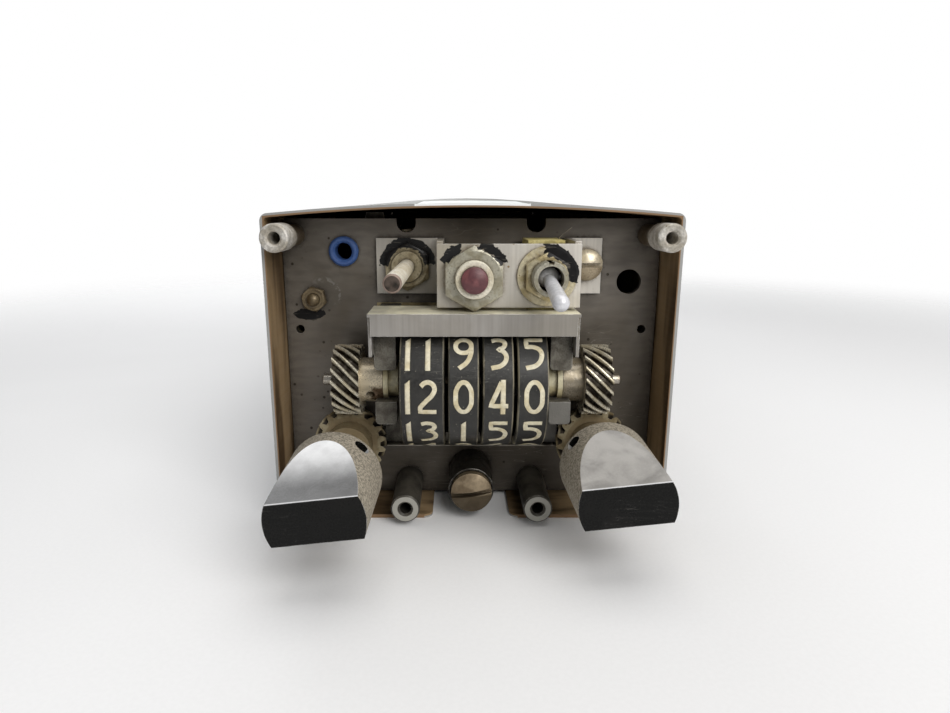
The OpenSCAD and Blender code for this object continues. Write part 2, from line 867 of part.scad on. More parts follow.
module bracket_screw() {
    color("khaki")
        facing(ear_screw_x, plate_y - bracket_t - washer_t, ear_screw_z)
            pan_screw(ear_screw_head_d, 2.2, ear_screw_d, bracket_t + washer_t + plate_t + 3, 0.9);
}

volume_nut_t = 2;
volume_bushing_out = 4.2;
pot_cavity = 3;

module volume_body() {
    color("gray")
        facing(volume_x, plate_back_y, volume_z)
            difference() {
                union() {
                    translate([0, 0, -pot_depth])
                        cylinder(d = pot_d, h = pot_depth);
                    cylinder(d = bushing_d, h = plate_t + volume_bushing_out);
                }
                translate([0, 0, -pot_cavity])
                    cylinder(d = volume_shaft_d + 2 * turn_gap, h = pot_cavity + 3 * volume_bushing_out);
            }
}

module volume_nut() {
    color("tan")
        facing(volume_x, plate_y - bracket_t, volume_z)
            hex_nut(volume_nut_af, bushing_d + 2 * fit_gap, volume_nut_t, volume_nut_af - 0.6);
}

module volume_shaft() {
    back = plate_t + pot_cavity - clear_gap;
    color("silver")
        facing(volume_x, plate_y, volume_z)
            translate([0, 0, -back]) {
                cylinder(d = volume_shaft_d, h = back + volume_reach - 0.3);
                translate([0, 0, back + volume_reach - 0.3])
                    cylinder(d1 = volume_shaft_d, d2 = volume_shaft_d - 0.6, h = 0.3);
            }
}

button_nut_t = 2;
button_body_d = 9.6;
button_body_len = 9.5;
plunger_len = 8;

module button_body() {
    bore_at = bracket_t + button_bushing_out + button_out - plunger_len - button_travel - clear_gap;
    color("gray")
        facing(button_x, face_back_y, button_z)
            difference() {
                union() {
                    translate([0, 0, -button_body_len])
                        cylinder(d = button_body_d, h = button_body_len);
                    cylinder(d = button_bushing_d, h = bracket_t + button_bushing_out);
                }
                translate([0, 0, bore_at])
                    cylinder(d = button_d + 2 * turn_gap, h = plunger_len + button_bushing_out);
            }
}

module button_nut() {
    color("silver")
        facing(button_x, face_y, button_z)
            hex_nut(button_nut_af, button_bushing_d + 2 * fit_gap, button_nut_t, button_nut_af - 0.4);
}

module button_plunger() {
    color("maroon")
        facing(button_x, face_y - button_bushing_out - button_out + plunger_len, button_z)
            domed_bar(button_d, plunger_len, 0.7);
}

toggle_nut_t = 1.9;
toggle_washer_t = 0.6;
toggle_body_depth = 11.5;
toggle_pivot_out = 1.8;
toggle_ball_d = 4.2;
toggle_pin_d = 1;
toggle_pin_len = 4.6;
toggle_bore_depth = 6.9;

module toggle_body() {
    color("darkkhaki")
        translate([toggle_x - toggle_body_w / 2, face_back_y, toggle_z - toggle_body_h / 2])
            cube([toggle_body_w, toggle_body_depth, toggle_body_h]);
}

module toggle_bushing() {
    color("silver")
        facing(toggle_x, face_back_y, toggle_z)
            difference() {
                cylinder(d = bushing_d, h = bracket_t + toggle_bushing_out);
                translate([0, 0, bracket_t + toggle_bushing_out - toggle_bore_depth])
                    cylinder(d = toggle_mouth_d, h = toggle_bore_depth + 1);
                translate([-0.5, bushing_d / 2 - 0.5, bracket_t])
                    cube([1, 1, toggle_bushing_out + 1]);
            }
}

module toggle_washer() {
    color("darkkhaki")
        facing(toggle_x, face_y, toggle_z)
            tube(toggle_washer_d, bushing_d + 2 * fit_gap, toggle_washer_t);
}

module toggle_nut() {
    color("darkkhaki")
        facing(toggle_x, face_y - toggle_washer_t, toggle_z)
            hex_nut(toggle_nut_af, bushing_d + 2 * fit_gap, toggle_nut_t, toggle_nut_af - 0.4);
}

// Lever with its pivot ball and the cross pin that it tilts on
module toggle_lever() {
    tip_r = lever_tip_d / 2;
    color("silver")
        facing(toggle_x, face_y - toggle_pivot_out, toggle_z)
            rotate([lever_deg, 0, 0]) {
                sphere(d = toggle_ball_d);
                rotate([0, 90, 0])
                    cylinder(d = toggle_pin_d, h = toggle_pin_len, center = true);
                rotate([0, lever_lean_deg, 0]) {
                    cylinder(d1 = lever_neck_d, d2 = lever_tip_d, h = lever_len - tip_r);
                    translate([0, 0, lever_len - tip_r])
                        sphere(d = lever_tip_d);
                }
            }
}

trimmer_bush_d = 3.7;
trimmer_nut_t = 1.6;
trimmer_reach = 3;
trimmer_block = 7.4;
trimmer_block_depth = 6;
trimmer_bore = 3;

module trimmer_body() {
    color("gray")
        facing(trimmer_x, plate_back_y, trimmer_z)
            difference() {
                union() {
                    translate([-trimmer_block / 2, -trimmer_block / 2, -trimmer_block_depth])
                        cube([trimmer_block, trimmer_block, trimmer_block_depth]);
                    cylinder(d = trimmer_bush_d, h = plate_t + trimmer_nut_t);
                }
                translate([0, 0, -trimmer_bore])
                    cylinder(d = trimmer_shaft_d + 2 * turn_gap, h = trimmer_bore + 3 * trimmer_nut_t);
            }
}

module trimmer_nut() {
    color("tan")
        facing(trimmer_x, plate_y, trimmer_z)
            rotate([0, 0, 12])
                hex_nut(trimmer_nut_af, trimmer_bush_d + 2 * fit_gap, trimmer_nut_t, trimmer_nut_af);
}

module trimmer_shaft() {
    back = plate_t + trimmer_bore - clear_gap;
    color("tan")
        facing(trimmer_x, plate_y + back, trimmer_z)
            domed_bar(trimmer_shaft_d, back + trimmer_reach, 0.7);
}

grommet_neck_d = 5;

module grommet() {
    flange_t = 1.2;
    half_hole = grommet_hole_d / 2;
    color("royalblue")
        facing(grommet_x, plate_y, grommet_z)
            rotate_extrude()
                polygon([
                    [half_hole, -plate_t - 1],
                    [grommet_d / 2 - 0.3, -plate_t - 1],
                    [grommet_d / 2 - 0.3, -plate_t],
                    [grommet_neck_d / 2, -plate_t],
                    [grommet_neck_d / 2, 0],
                    [grommet_d / 2, 0],
                    [grommet_d / 2, flange_t - 0.4],
                    [grommet_d / 2 - 0.4, flange_t],
                    [half_hole + 0.5, flange_t],
                    [half_hole, flange_t - 0.5]
                ]);
}

// Folded strip over the drums: top, front lip and two side tabs
module window_mask() {
    lip_half_w = mask_half_w - 0.5;
    front = plate_y - mask_reach;
    color("gainsboro") {
        translate([frame_x - mask_half_w, front, mask_z1 - mask_t])
            cube([2 * mask_half_w, mask_depth, mask_t]);
        translate([frame_x - lip_half_w, front, mask_z1 - mask_lip_h])
            cube([2 * lip_half_w, mask_t, mask_lip_h]);
        for (x = [-mask_half_w, mask_half_w - mask_t])
            translate([frame_x + x, front + mask_t + 0.2, mask_z1 - mask_tab_h])
                cube([mask_t, mask_depth - mask_t - 0.2, mask_tab_h]);
    }
}

frame_back = 5.5;
frame_bar_h = 3.5;
slot_z = drum_z + slot_rise - slot_h / 2;
recess_depth = 2.35;
jaw_r = 0.8;

// One cheek seen from the side: two jaws round an open slot and a bearing's seat
module cheek_section() {
    front = plate_y - cheek_reach;
    back = plate_y + frame_back;
    difference() {
        union() {
            translate([front, slot_z - jaw_h])
                square([back - front, mask_z1 - mask_t - slot_z + jaw_h]);
            translate([plate_back_y + fit_gap, window_z0 - 1])
                square([back - plate_back_y - fit_gap, drum_z - window_z0]);
        }
        translate([front - 1, slot_z])
            square([drum_y - front + 1, slot_h]);
        translate([drum_y, drum_z])
            circle(d = bearing_d + 2 * fit_gap);
    }
}

// Cutter that rounds the two lower edges of a jaw over a length, from the jaw's front back
module jaw_rounding(jaw_z, len) {
    cheek_w = cheek_x1 - cheek_x0;
    translate([cheek_x0, plate_y - cheek_reach + len, jaw_z])
        rotate([90, 0, 0])
            linear_extrude(len + 1)
                difference() {
                    translate([-1, -1])
                        square([cheek_w + 2, jaw_r + 1]);
                    translate([jaw_r, 0])
                        square([cheek_w - 2 * jaw_r, jaw_r + 1]);
                    for (x = [jaw_r, cheek_w - jaw_r])
                        translate([x, jaw_r])
                            circle(r = jaw_r);
                }
}

module drum_frame() {
    bar_y = plate_back_y + fit_gap;
    bar_depth = plate_y + frame_back - bar_y;
    color("gray")
        translate([frame_x, 0, 0]) {
            both_sides() {
                difference() {
                    translate([cheek_x0, 0, 0])
                        rotate([90, 0, 90])
                            linear_extrude(cheek_x1 - cheek_x0)
                                cheek_section();
                    along_x(cheek_x1 - recess_depth, drum_y, drum_z)
                        cylinder(d = hub_d + 2 * clear_gap, h = recess_depth + 1);
                    jaw_rounding(slot_z - jaw_h, cheek_reach - 1);
                    jaw_rounding(slot_z + slot_h, cheek_reach - drum_reach);
                }
                translate([cheek_x1 - 0.5, bar_y, drum_z + slot_h])
                    cube([4.5, 2, 8]);
            }
            translate([-cheek_x0 - 0.5, bar_y, window_z0 - 1])
                cube([2 * cheek_x0 + 1, bar_depth, frame_bar_h]);
            translate([-cheek_x0 - 0.5, bar_y, mask_z1 - mask_t - 3.2])
                cube([2 * cheek_x0 + 1, bar_depth, 3]);
        }
}

module drum_bearings() {
    body_len = cheek_x1 - recess_depth - cheek_x0 + fit_gap;
    color("beige")
        translate([frame_x, 0, 0])
            both_sides()
                along_x(cheek_x0, drum_y, drum_z)
                    difference() {
                        union() {
                            cylinder(d = bearing_d, h = body_len + 0.1);
                            translate([0, 0, body_len])
                                cylinder(d = hub_d, h = bearing_flange_t);
                        }
                        translate([0, 0, -1])
                            cylinder(d = free_hole_d, h = body_len + bearing_flange_t + 2);
                    }
}

// Hollow drum with a middle web and a hub, from its own Z = 0 to its width
module drum(w, hole_d) {
    web_t = 1.4;
    hub_r = 3.4;
    rotate_extrude($fn = 96)
        polygon([
            [hole_d / 2, 0],
            [hub_r, 0],
            [hub_r, w / 2 - web_t / 2],
            [drum_r - drum_wall, w / 2 - web_t / 2],
            [drum_r - drum_wall, 0],
            [drum_r - 0.25, 0],
            [drum_r, 0.25],
            [drum_r, w - 0.25],
            [drum_r - 0.25, w],
            [drum_r - drum_wall, w],
            [drum_r - drum_wall, w / 2 + web_t / 2],
            [hub_r, w / 2 + web_t / 2],
            [hub_r, w],
            [hole_d / 2, w]
        ]);
}

free_hole_d = drum_shaft_d + 2 * turn_gap;
tight_hole_d = drum_shaft_d + 2 * fit_gap;

module tens_drum() {
    color("black")
        along_x(drum_x0, drum_y, drum_z)
            drum(wide_drum_w, free_hole_d);
}

module units_drum() {
    color("black")
        along_x(units_x, drum_y, drum_z)
            drum(drum_w, tight_hole_d);
}

module tenths_drum() {
    color("black")
        along_x(tenths_x, drum_y, drum_z)
            drum(drum_w, free_hole_d);
}

module hundredths_drum() {
    color("black")
        along_x(hundredths_x, drum_y, drum_z)
            drum(drum_w, tight_hole_d);
}

// Drum shaft out to its rounded end on the given side, from an inner place measured that way
module drum_shaft(side, inner) {
    color("silver")
        translate([0, drum_y, drum_z])
            rotate([0, side * 90, 0])
                translate([0, 0, inner])
                    domed_bar(drum_shaft_d, shaft_end_x - inner, 0.4);
}

module units_shaft() {
    drum_shaft(-1, -units_x - drum_w - drum_gap / 4);
}

module hundredths_shaft() {
    drum_shaft(1, tenths_x - drum_gap / 4);
}

// Angle that an involute swings through from its base circle out to a radius
function involute_deg(r, base_r) =
    let (a = acos(min(1, base_r / r)))
    tan(a) * 180 / PI - a;

// Half of a tooth's angle at a radius, from its value on the pitch circle
function tooth_half_deg(r, pitch_r, base_r, pitch_half) =
    pitch_half + involute_deg(pitch_r, base_r) - involute_deg(r, base_r);

// Outline of a helical gear in the plane across its axis
function gear_outline(pitch_d, helix) =
    let (
        pitch_r = pitch_d / 2,
        cross_deg = atan(tan(pressure_deg) / cos(helix)),
        base_r = pitch_r * cos(cross_deg),
        root_r = max(base_r, pitch_r - 1.2 * normal_module),
        tip_r = pitch_r + normal_module,
        pitch_half = 90 / gear_teeth - backlash / 4 / pitch_r * 180 / PI / cos(helix)
    )
    [
        for (i = [0:gear_teeth - 1], side = [-1, 1], step = [0:2])
            let (
                r = [root_r, pitch_r, tip_r][side < 0 ? step : 2 - step],
                a = 360 * i / gear_teeth + side * tooth_half_deg(r, pitch_r, base_r, pitch_half)
            )
            [r * cos(a), r * sin(a)]
    ];

// Right-hand helical teeth, centred on the origin along Z, a tooth's middle pointing along X
module helical_teeth(pitch_d, helix, w, slices) {
    turn = 360 * w * tan(helix) / (PI * pitch_d);
    rotate([0, 0, -turn / 2])
        linear_extrude(height = w, center = true, twist = -turn, slices = slices)
            polygon(gear_outline(pitch_d, helix));
}

hub_end_x = cheek_x1 - recess_depth + bearing_flange_t + 2 * turn_gap;

// Pinion on the given side of the drums, with its hub towards them and its teeth in mesh
module pinion(side, screw_deg) {
    hub_len = pinion_x - pinion_w / 2 - hub_end_x - side * frame_x;
    mesh_deg = -360 * side * pinion_inset * tan(pinion_helix) / (PI * pinion_pd);
    color("wheat")
        along_x(side * pinion_x, drum_y, drum_z)
            difference() {
                union() {
                    rotate([0, 0, mesh_deg])
                        helical_teeth(pinion_pd, pinion_helix, pinion_w, 7);
                    translate([0, 0, side > 0 ? -pinion_w / 2 - hub_len : pinion_w / 2 - 0.01])
                        cylinder(d = hub_d, h = hub_len + 0.01);
                }
                cylinder(d = tight_hole_d, h = 4 * pinion_w, center = true);
                translate([0, 0, -side * (pinion_w / 2 + hub_len * 0.45)])
                    rotate([90, 0, screw_deg])
                        cylinder(d = 1.9, h = hub_d);
            }
}

module units_pinion() {
    pinion(-1, 30);
}

module hundredths_pinion() {
    pinion(1, 180);
}

drive_hub_front = 4.2;
drive_hub_back = 3.8;
drive_hub_d = 9.6;
knob_hole_d = knob_shaft_d + 2 * fit_gap;

module drive_gear(x) {
    color("tan")
        translate([x, drum_y, knob_z])
            rotate([-90, 0, 0])
                difference() {
                    union() {
                        helical_teeth(drive_pd, drive_helix, drive_w, 3);
                        translate([0, 0, -drive_w / 2 - drive_hub_front])
                            cylinder(d = drive_hub_d, h = drive_hub_front + drive_w + drive_hub_back);
                    }
                    cylinder(d = knob_hole_d, h = 40, center = true);
                }
}

module left_drive_gear() {
    drive_gear(-knob_x);
}

module right_drive_gear() {
    drive_gear(knob_x);
}

set_screw_back = 2.2;
knob_bore_front = 5;

// Bar knob along its own Z, its back at Z = 0, with its set screw at the given angle
module bar_knob(screw_deg) {
    rise = (knob_back_d - knob_bar_h) / 2;
    chord = norm([rise, knob_flat_len]);
    away = sqrt(pow(knob_flat_r, 2) - pow(chord / 2, 2)) / chord;
    flat_y = knob_bar_h / 2 + rise / 2 + away * knob_flat_len;
    flat_z = knob_len - knob_flat_len / 2 + away * rise;
    color("dimgray")
        rotate([0, 0, knob_tilt_deg])
            difference() {
                cylinder(d1 = knob_back_d, d2 = knob_front_d, h = knob_len);
                for (turn = [0, 180])
                    rotate([0, 0, turn])
                        translate([0, flat_y, flat_z])
                            rotate([0, 90, 0])
                                cylinder(r = knob_flat_r, h = 2 * knob_back_d, center = true);
                translate([0, 0, -1])
                    cylinder(d = knob_hole_d, h = knob_len - knob_bore_front + 1);
                translate([0, 0, -1])
                    cylinder(d = knob_back_d - 3.6, h = 1.6);
                rotate([0, 0, screw_deg - knob_tilt_deg])
                    translate([0, 0, set_screw_back])
                        rotate([0, 90, 0])
                            cylinder(d = set_screw_d + 2 * fit_gap, h = knob_back_d);
            }
}

left_screw_deg = 50;
right_screw_deg = 141;

// Distance from the plate to the back of a knob
left_knob_back = left_knob_reach - knob_len;
right_knob_back = right_knob_reach - knob_len;

module left_knob() {
    facing(-knob_x, plate_y - left_knob_back, knob_z)
        bar_knob(left_screw_deg);
}

module right_knob() {
    facing(knob_x, plate_y - right_knob_back, knob_z)
        bar_knob(right_screw_deg);
}

// Headless screw in the knob, pointing outwards along the given angle
module set_screw(screw_deg) {
    screw_len = 4.2;
    color("gray")
        rotate([0, 0, screw_deg])
            translate([knob_shaft_d / 2, 0, set_screw_back])
                rotate([0, 90, 0])
                    difference() {
                        cylinder(d = set_screw_d, h = screw_len);
                        translate([0, 0, screw_len - 1])
                            cylinder(d = 1.4, h = 2, $fn = 6);
                    }
}

module left_set_screws() {
    facing(-knob_x, plate_y - left_knob_back, knob_z)
        set_screw(left_screw_deg);
}

module right_set_screws() {
    facing(knob_x, plate_y - right_knob_back, knob_z)
        set_screw(right_screw_deg);
}

detent_gap = 6;
detent_t = 2.5;
first_deck = 20;
deck_t = 1.6;
rotor_d = 10;
rod_d = 3;
rod_deg = 26;
deck_d = 2 * (tray_half_w - knob_x - deck_side_gap);
rod_r = deck_d / 2 - 2.2;
detent_d = 2 * rod_r - rod_d - 1;
shaft_back = first_deck + (deck_count - 1) * deck_pitch + deck_t + 4;

// Knob shaft from inside the knob to behind the last switch deck
module knob_shaft(x, reach) {
    front = reach - knob_bore_front - clear_gap;
    color("silver")
        facing(x, plate_back_y + shaft_back, knob_z)
            cylinder(d = knob_shaft_d, h = shaft_back + plate_t + front);
}

module left_shaft() {
    knob_shaft(-knob_x, left_knob_reach);
}

module right_shaft() {
    knob_shaft(knob_x, right_knob_reach);
}

// Star wheel with one notch for each position
module detent_wheel(x) {
    positions = 10;
    notch_r = 1.6;
    color("silver")
        translate([x, plate_back_y + detent_gap, knob_z])
            rotate([-90, 0, 0])
                linear_extrude(detent_t)
                    difference() {
                        circle(d = detent_d);
                        for (i = [0:positions - 1])
                            rotate([0, 0, 360 * i / positions])
                                translate([0, -detent_d / 2 - 0.3])
                                    circle(r = notch_r);
                        circle(d = knob_hole_d);
                    }
}

module left_detent_wheel() {
    detent_wheel(-knob_x);
}

module right_detent_wheel() {
    detent_wheel(knob_x);
}

// Rotor discs that turn inside the switch decks
module rotors(x) {
    color("burlywood")
        for (i = [0:deck_count - 1])
            translate([x, plate_back_y + first_deck + i * deck_pitch, knob_z])
                rotate([-90, 0, 0])
                    tube(rotor_d, knob_hole_d, deck_t);
}

module left_rotors() {
    rotors(-knob_x);
}

module right_rotors() {
    rotors(knob_x);
}

bush_d = 8;
bush_flange_d = 10.4;
bush_back = 4;

module shaft_bushes() {
    color("peru")
        for (side = [-1, 1])
            facing(side * knob_x, plate_back_y + bush_back, knob_z)
                difference() {
                    union() {
                        cylinder(d = bush_d, h = bush_back + plate_t + 0.1);
                        translate([0, 0, bush_back + plate_t])
                            cylinder(d = bush_flange_d, h = 1.4);
                        translate([0, 0, bush_back - 2])
                            cylinder(d = bush_flange_d + 1, h = 2, $fn = 6);
                    }
                    translate([0, 0, -1])
                        cylinder(d = knob_shaft_d + 2 * turn_gap, h = 20);
                }
}

// Bent leaf spring above each detent wheel, its foot on the plate's back
module detent_springs() {
    spring_w = 5;
    spring_t = 0.6;
    nose_z = detent_d / 2 + 0.2;
    color("darkgoldenrod")
        for (side = [-1, 1])
            translate([side * knob_x, plate_back_y, knob_z + nose_z]) {
                translate([-spring_w / 2, 0, 0.8])
                    cube([spring_w, spring_t, 5]);
                translate([-spring_w / 2, 0, 0.8])
                    cube([spring_w, detent_gap + detent_t, spring_t]);
                translate([0, detent_gap + detent_t, 0.8])
                    rotate([90, 0, 0])
                        cylinder(r = 0.8, h = detent_t);
            }
}

// Switch decks with the two rods that carry them from the plate
module switch_decks() {
    last = first_deck + (deck_count - 1) * deck_pitch + deck_t;
    color("peru")
        both_sides()
            translate([knob_x, plate_back_y, knob_z])
                rotate([-90, 0, 0]) {
                    for (i = [0:deck_count - 1])
                        translate([0, 0, first_deck + i * deck_pitch])
                            tube(deck_d, rotor_d + 4 * turn_gap, deck_t);
                    for (a = [0, 180])
                        rotate([0, 0, a + rod_deg])
                            translate([0, rod_r, 0])
                                cylinder(d = rod_d, h = last);
                }
}

module main_board() {
    color("darkgreen")
        translate([-tray_half_w, main_board_y0, main_board_z])
            cube([2 * tray_half_w, main_board_y1 - main_board_y0, board_t]);
}

board_top_z = main_board_z + board_t;

can_w = 10;
can_h = 15;
can_x = 20;
can_front = 10;
can_pitch = 24;
can_hole_d = 4;

module tuning_cans() {
    color("silver")
        for (i = [0:4])
            translate([can_x, main_board_y0 + can_front + i * can_pitch, board_top_z])
                difference() {
                    cube([can_w, can_w, can_h]);
                    translate([can_w / 2, can_w / 2, can_h - can_hole_d])
                        cylinder(d = can_hole_d, h = can_hole_d + 1);
                }
}

shield_w = 42;
shield_len = 64;
shield_h = 26;
shield_t = 1;
shield_side = 4;
shield_front = 16;

module shield_box() {
    color("lightgray")
        translate([-tray_half_w + shield_side, main_board_y0 + shield_front, board_top_z])
            difference() {
                cube([shield_w, shield_len, shield_h]);
                translate([shield_t, shield_t, -1])
                    cube([shield_w - 2 * shield_t, shield_len - 2 * shield_t, shield_h - shield_t + 1]);
            }
}

crystal_board_front = 24;
crystal_board_len = 46;
crystal_w = 10.6;
crystal_t = 4;
crystal_h = 12.5;
crystal_side = 6;
crystal_front = 5;
crystal_pitch = 14;
crystal_row_pitch = 10;

// Board above the switch decks with its rows of crystals
module crystal_board() {
    board_y0 = plate_back_y + crystal_board_front;
    color("darkolivegreen") {
        translate([-tray_half_w, board_y0, crystal_board_z])
            cube([2 * tray_half_w, crystal_board_len, board_t]);
        for (row = [0:3], i = [0:4])
            translate([
                -tray_half_w + crystal_side + i * crystal_pitch,
                board_y0 + crystal_front + row * crystal_row_pitch,
                crystal_board_z + board_t - 0.01
            ])
                cube([crystal_w, crystal_t, crystal_h]);
    }
}

module antenna_jack() {
    flange_t = 2.4;
    inner_len = 8;
    color("silver")
        translate([jack_x, rear_y, jack_z])
            rotate([-90, 0, 0])
                difference() {
                    union() {
                        translate([0, 0, -rear_t - inner_len])
                            cylinder(d = jack_neck_d, h = rear_t + inner_len);
                        cylinder(d = jack_d + 3, h = flange_t);
                        cylinder(d = jack_d, h = jack_out);
                        translate([0, 0, -rear_t - 2])
                            cylinder(d = jack_neck_d + 4, h = 2, $fn = 6);
                        for (a = [0, 180])
                            rotate([90, 0, a])
                                translate([0, jack_out - 5, 0])
                                    cylinder(d = 2, h = jack_d / 2 + 0.9);
                    }
                    translate([0, 0, jack_out - 8.5])
                        tube(jack_d - 1.6, 4.6, 10);
                    translate([0, 0, jack_out - 5])
                        cylinder(d = 1.4, h = 10);
                }
}

// Moulded block through the rear panel with flanges and a contact tongue
module rear_connector() {
    inner_len = 9;
    outer_len = 5;
    tongue_len = 6;
    block_w = connector_w - 2 * fit_gap;
    block_h = connector_h - 2 * fit_gap;
    color("darkslategray")
        translate([connector_x, 0, connector_z])
            difference() {
                union() {
                    translate([-block_w / 2, rear_front_y - inner_len, -block_h / 2])
                        cube([block_w, inner_len + rear_t + outer_len, block_h]);
                    translate([-connector_w / 2 - connector_ear, rear_y, -connector_h / 2])
                        cube([connector_w + 2 * connector_ear, 2, connector_h]);
                    translate([-connector_w / 2 + 2, rear_y + outer_len - 0.1, -1.2])
                        cube([connector_w - 4, tongue_len, 2.4]);
                }
                for (side = [-1, 1])
                    translate([side * (connector_w + connector_ear) / 2, rear_y - 1, 0])
                        rotate([-90, 0, 0])
                            cylinder(d = rear_screw_d + 2 * fit_gap, h = 5);
            }
}

dust_cover();
front_plate();
chassis_tray();
rear_panel();
cover_screws();
rear_panel_screws();
upper_standoffs();
lower_standoffs();
lock_screw_sleeve();
lock_screw();
switch_bracket();
bracket_screw();
bracket_screw_washer();
volume_body();
volume_nut();
volume_shaft();
button_body();
button_nut();
button_plunger();
toggle_body();
toggle_bushing();
toggle_washer();
toggle_nut();
toggle_lever();
trimmer_body();
trimmer_nut();
trimmer_shaft();
grommet();
window_mask();
drum_frame();
drum_bearings();
tens_drum();
units_drum();
units_shaft();
units_pinion();
tenths_drum();
hundredths_drum();
hundredths_shaft();
hundredths_pinion();
left_knob();
left_set_screws();
left_shaft();
left_drive_gear();
left_detent_wheel();
left_rotors();
right_knob();
right_set_screws();
right_shaft();
right_drive_gear();
right_detent_wheel();
right_rotors();
shaft_bushes();
detent_springs();
switch_decks();
main_board();
tuning_cans();
shield_box();
crystal_board();
antenna_jack();
rear_connector();
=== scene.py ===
import math

import bmesh
import bpy
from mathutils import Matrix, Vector


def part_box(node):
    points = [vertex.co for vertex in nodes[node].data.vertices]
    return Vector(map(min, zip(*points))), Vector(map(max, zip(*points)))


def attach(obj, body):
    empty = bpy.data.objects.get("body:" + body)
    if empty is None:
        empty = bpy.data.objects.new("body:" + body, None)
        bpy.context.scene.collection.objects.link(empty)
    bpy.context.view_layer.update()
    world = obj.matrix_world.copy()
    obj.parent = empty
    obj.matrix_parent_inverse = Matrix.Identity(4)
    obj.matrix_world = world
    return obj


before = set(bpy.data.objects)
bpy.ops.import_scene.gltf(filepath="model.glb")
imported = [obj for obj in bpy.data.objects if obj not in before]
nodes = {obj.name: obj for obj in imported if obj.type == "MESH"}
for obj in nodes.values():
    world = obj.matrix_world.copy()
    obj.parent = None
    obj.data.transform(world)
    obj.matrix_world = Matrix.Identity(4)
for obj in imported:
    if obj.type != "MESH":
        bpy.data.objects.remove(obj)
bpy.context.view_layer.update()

mm = 0.001
print("frame loaded:", len(nodes), "nodes")


def low(node):
    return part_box(node)[0] / mm


def high(node):
    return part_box(node)[1] / mm


def middle(node):
    return (low(node) + high(node)) / 2


coverFront = low("dust_cover").y   # camera, lamps and the white patch are placed from the cover's front edge
plateFront = low("front_plate").y


# camera and light

cameraLook = {"place": (-3.0, -126.4, 64.8), "down": 13.0, "offCentre": 17.9, "focalPixels": 640,
              "widthPixels": 950, "sensor": 36, "near": 0.005, "far": 20}

cameraData = bpy.data.cameras.new("camera")
cameraData.sensor_width = cameraLook["sensor"]
cameraData.lens = cameraLook["sensor"] * cameraLook["focalPixels"] / cameraLook["widthPixels"]
cameraData.shift_x = cameraLook["offCentre"] / cameraLook["widthPixels"]   # the photo is cut off centre
cameraData.clip_start = cameraLook["near"]
cameraData.clip_end = cameraLook["far"]
camera = bpy.data.objects.new("camera", cameraData)
place = cameraLook["place"]
camera.location = Vector((place[0], coverFront + place[1], place[2])) * mm
camera.rotation_euler = (math.radians(90 - cameraLook["down"]), 0, 0)
bpy.context.collection.objects.link(camera)
bpy.context.scene.camera = camera
bpy.context.scene.view_settings.view_transform = "Standard"

lampLook = {
    "overhead": {"place": (60, 20, 480), "aim": (0, 20, 0), "size": 400, "watts": 0.8,
                 "colour": (1, 0.99, 0.97)},
    "front": {"place": (260, -400, 330), "aim": (0, 0, 30), "size": 360, "watts": 2.4,
              "colour": (1, 0.985, 0.96)},
    "behind": {"place": (-160, 480, 320), "aim": (0, 120, 40), "size": 420, "watts": 1.1,
               "colour": (0.98, 0.99, 1)},
}
for lampName, look in lampLook.items():
    lampData = bpy.data.lights.new(lampName, "AREA")
    lampData.shape = "SQUARE"
    lampData.size = look["size"] * mm
    lampData.energy = look["watts"]
    lampData.color = look["colour"]
    lamp = bpy.data.objects.new(lampName, lampData)
    lamp.location = (Vector(look["place"]) + Vector((0, coverFront, 0))) * mm
    aim = (Vector(look["aim"]) + Vector((0, coverFront, 0))) * mm
    lamp.rotation_euler = (aim - lamp.location).to_track_quat("-Z", "Y").to_euler()
    bpy.context.collection.objects.link(lamp)

worldLook = {"light": (0.90, 0.91, 0.92, 1), "strength": 0.26, "backdrop": (1, 1, 1, 1)}
world = bpy.data.worlds.new("studio")
bpy.context.scene.world = world
world.use_nodes = True
sky = world.node_tree
surround = sky.nodes["Background"]
surround.inputs["Color"].default_value = worldLook["light"]
surround.inputs["Strength"].default_value = worldLook["strength"]
backdrop = sky.nodes.new("ShaderNodeBackground")
backdrop.inputs["Color"].default_value = worldLook["backdrop"]
backdrop.inputs["Strength"].default_value = 1.0
rays = sky.nodes.new("ShaderNodeLightPath")
pick = sky.nodes.new("ShaderNodeMixShader")
sky.links.new(rays.outputs["Is Camera Ray"], pick.inputs[0])
sky.links.new(surround.outputs[0], pick.inputs[1])
sky.links.new(backdrop.outputs[0], pick.inputs[2])
sky.links.new(pick.outputs[0], sky.nodes["World Output"].inputs["Surface"])
print("camera and lamps ready")


# small tools for the materials

def seen(r, g, b):
    # a colour as it is read off a screen, 0 to 255
    levels = (level / 255 for level in (r, g, b))
    return tuple(c / 12.92 if c < 0.0405 else ((c + 0.055) / 1.055) ** 2.4 for c in levels) + (1,)


def add(tree, kind, settings=None, **inputs):
    node = tree.nodes.new("ShaderNode" + kind)
    for key, value in (settings or {}).items():
        setattr(node, key, value)
    for key, value in inputs.items():
        feed(tree, node.inputs[key], value)
    return node


def feed(tree, socket, value):
    if isinstance(value, bpy.types.NodeSocket):
        tree.links.new(value, socket)
    else:
        socket.default_value = value


def calc(tree, operation, a, b=0.0, clamp=False):
    node = tree.nodes.new("ShaderNodeMath")
    node.operation = operation
    node.use_clamp = clamp
    feed(tree, node.inputs[0], a)
    feed(tree, node.inputs[1], b)
    return node.outputs[0]


def plus(tree, a, b):
    return calc(tree, "ADD", a, b)


def minus(tree, a, b):
    return calc(tree, "SUBTRACT", a, b)


def product(tree, first, *others):
    for other in others:
        first = calc(tree, "MULTIPLY", first, other)
    return first


def duller(tree, rough, share, amount):
    return calc(tree, "ADD", rough, product(tree, share, amount), True)


def over(tree, value, limit):
    return calc(tree, "GREATER_THAN", value, limit)


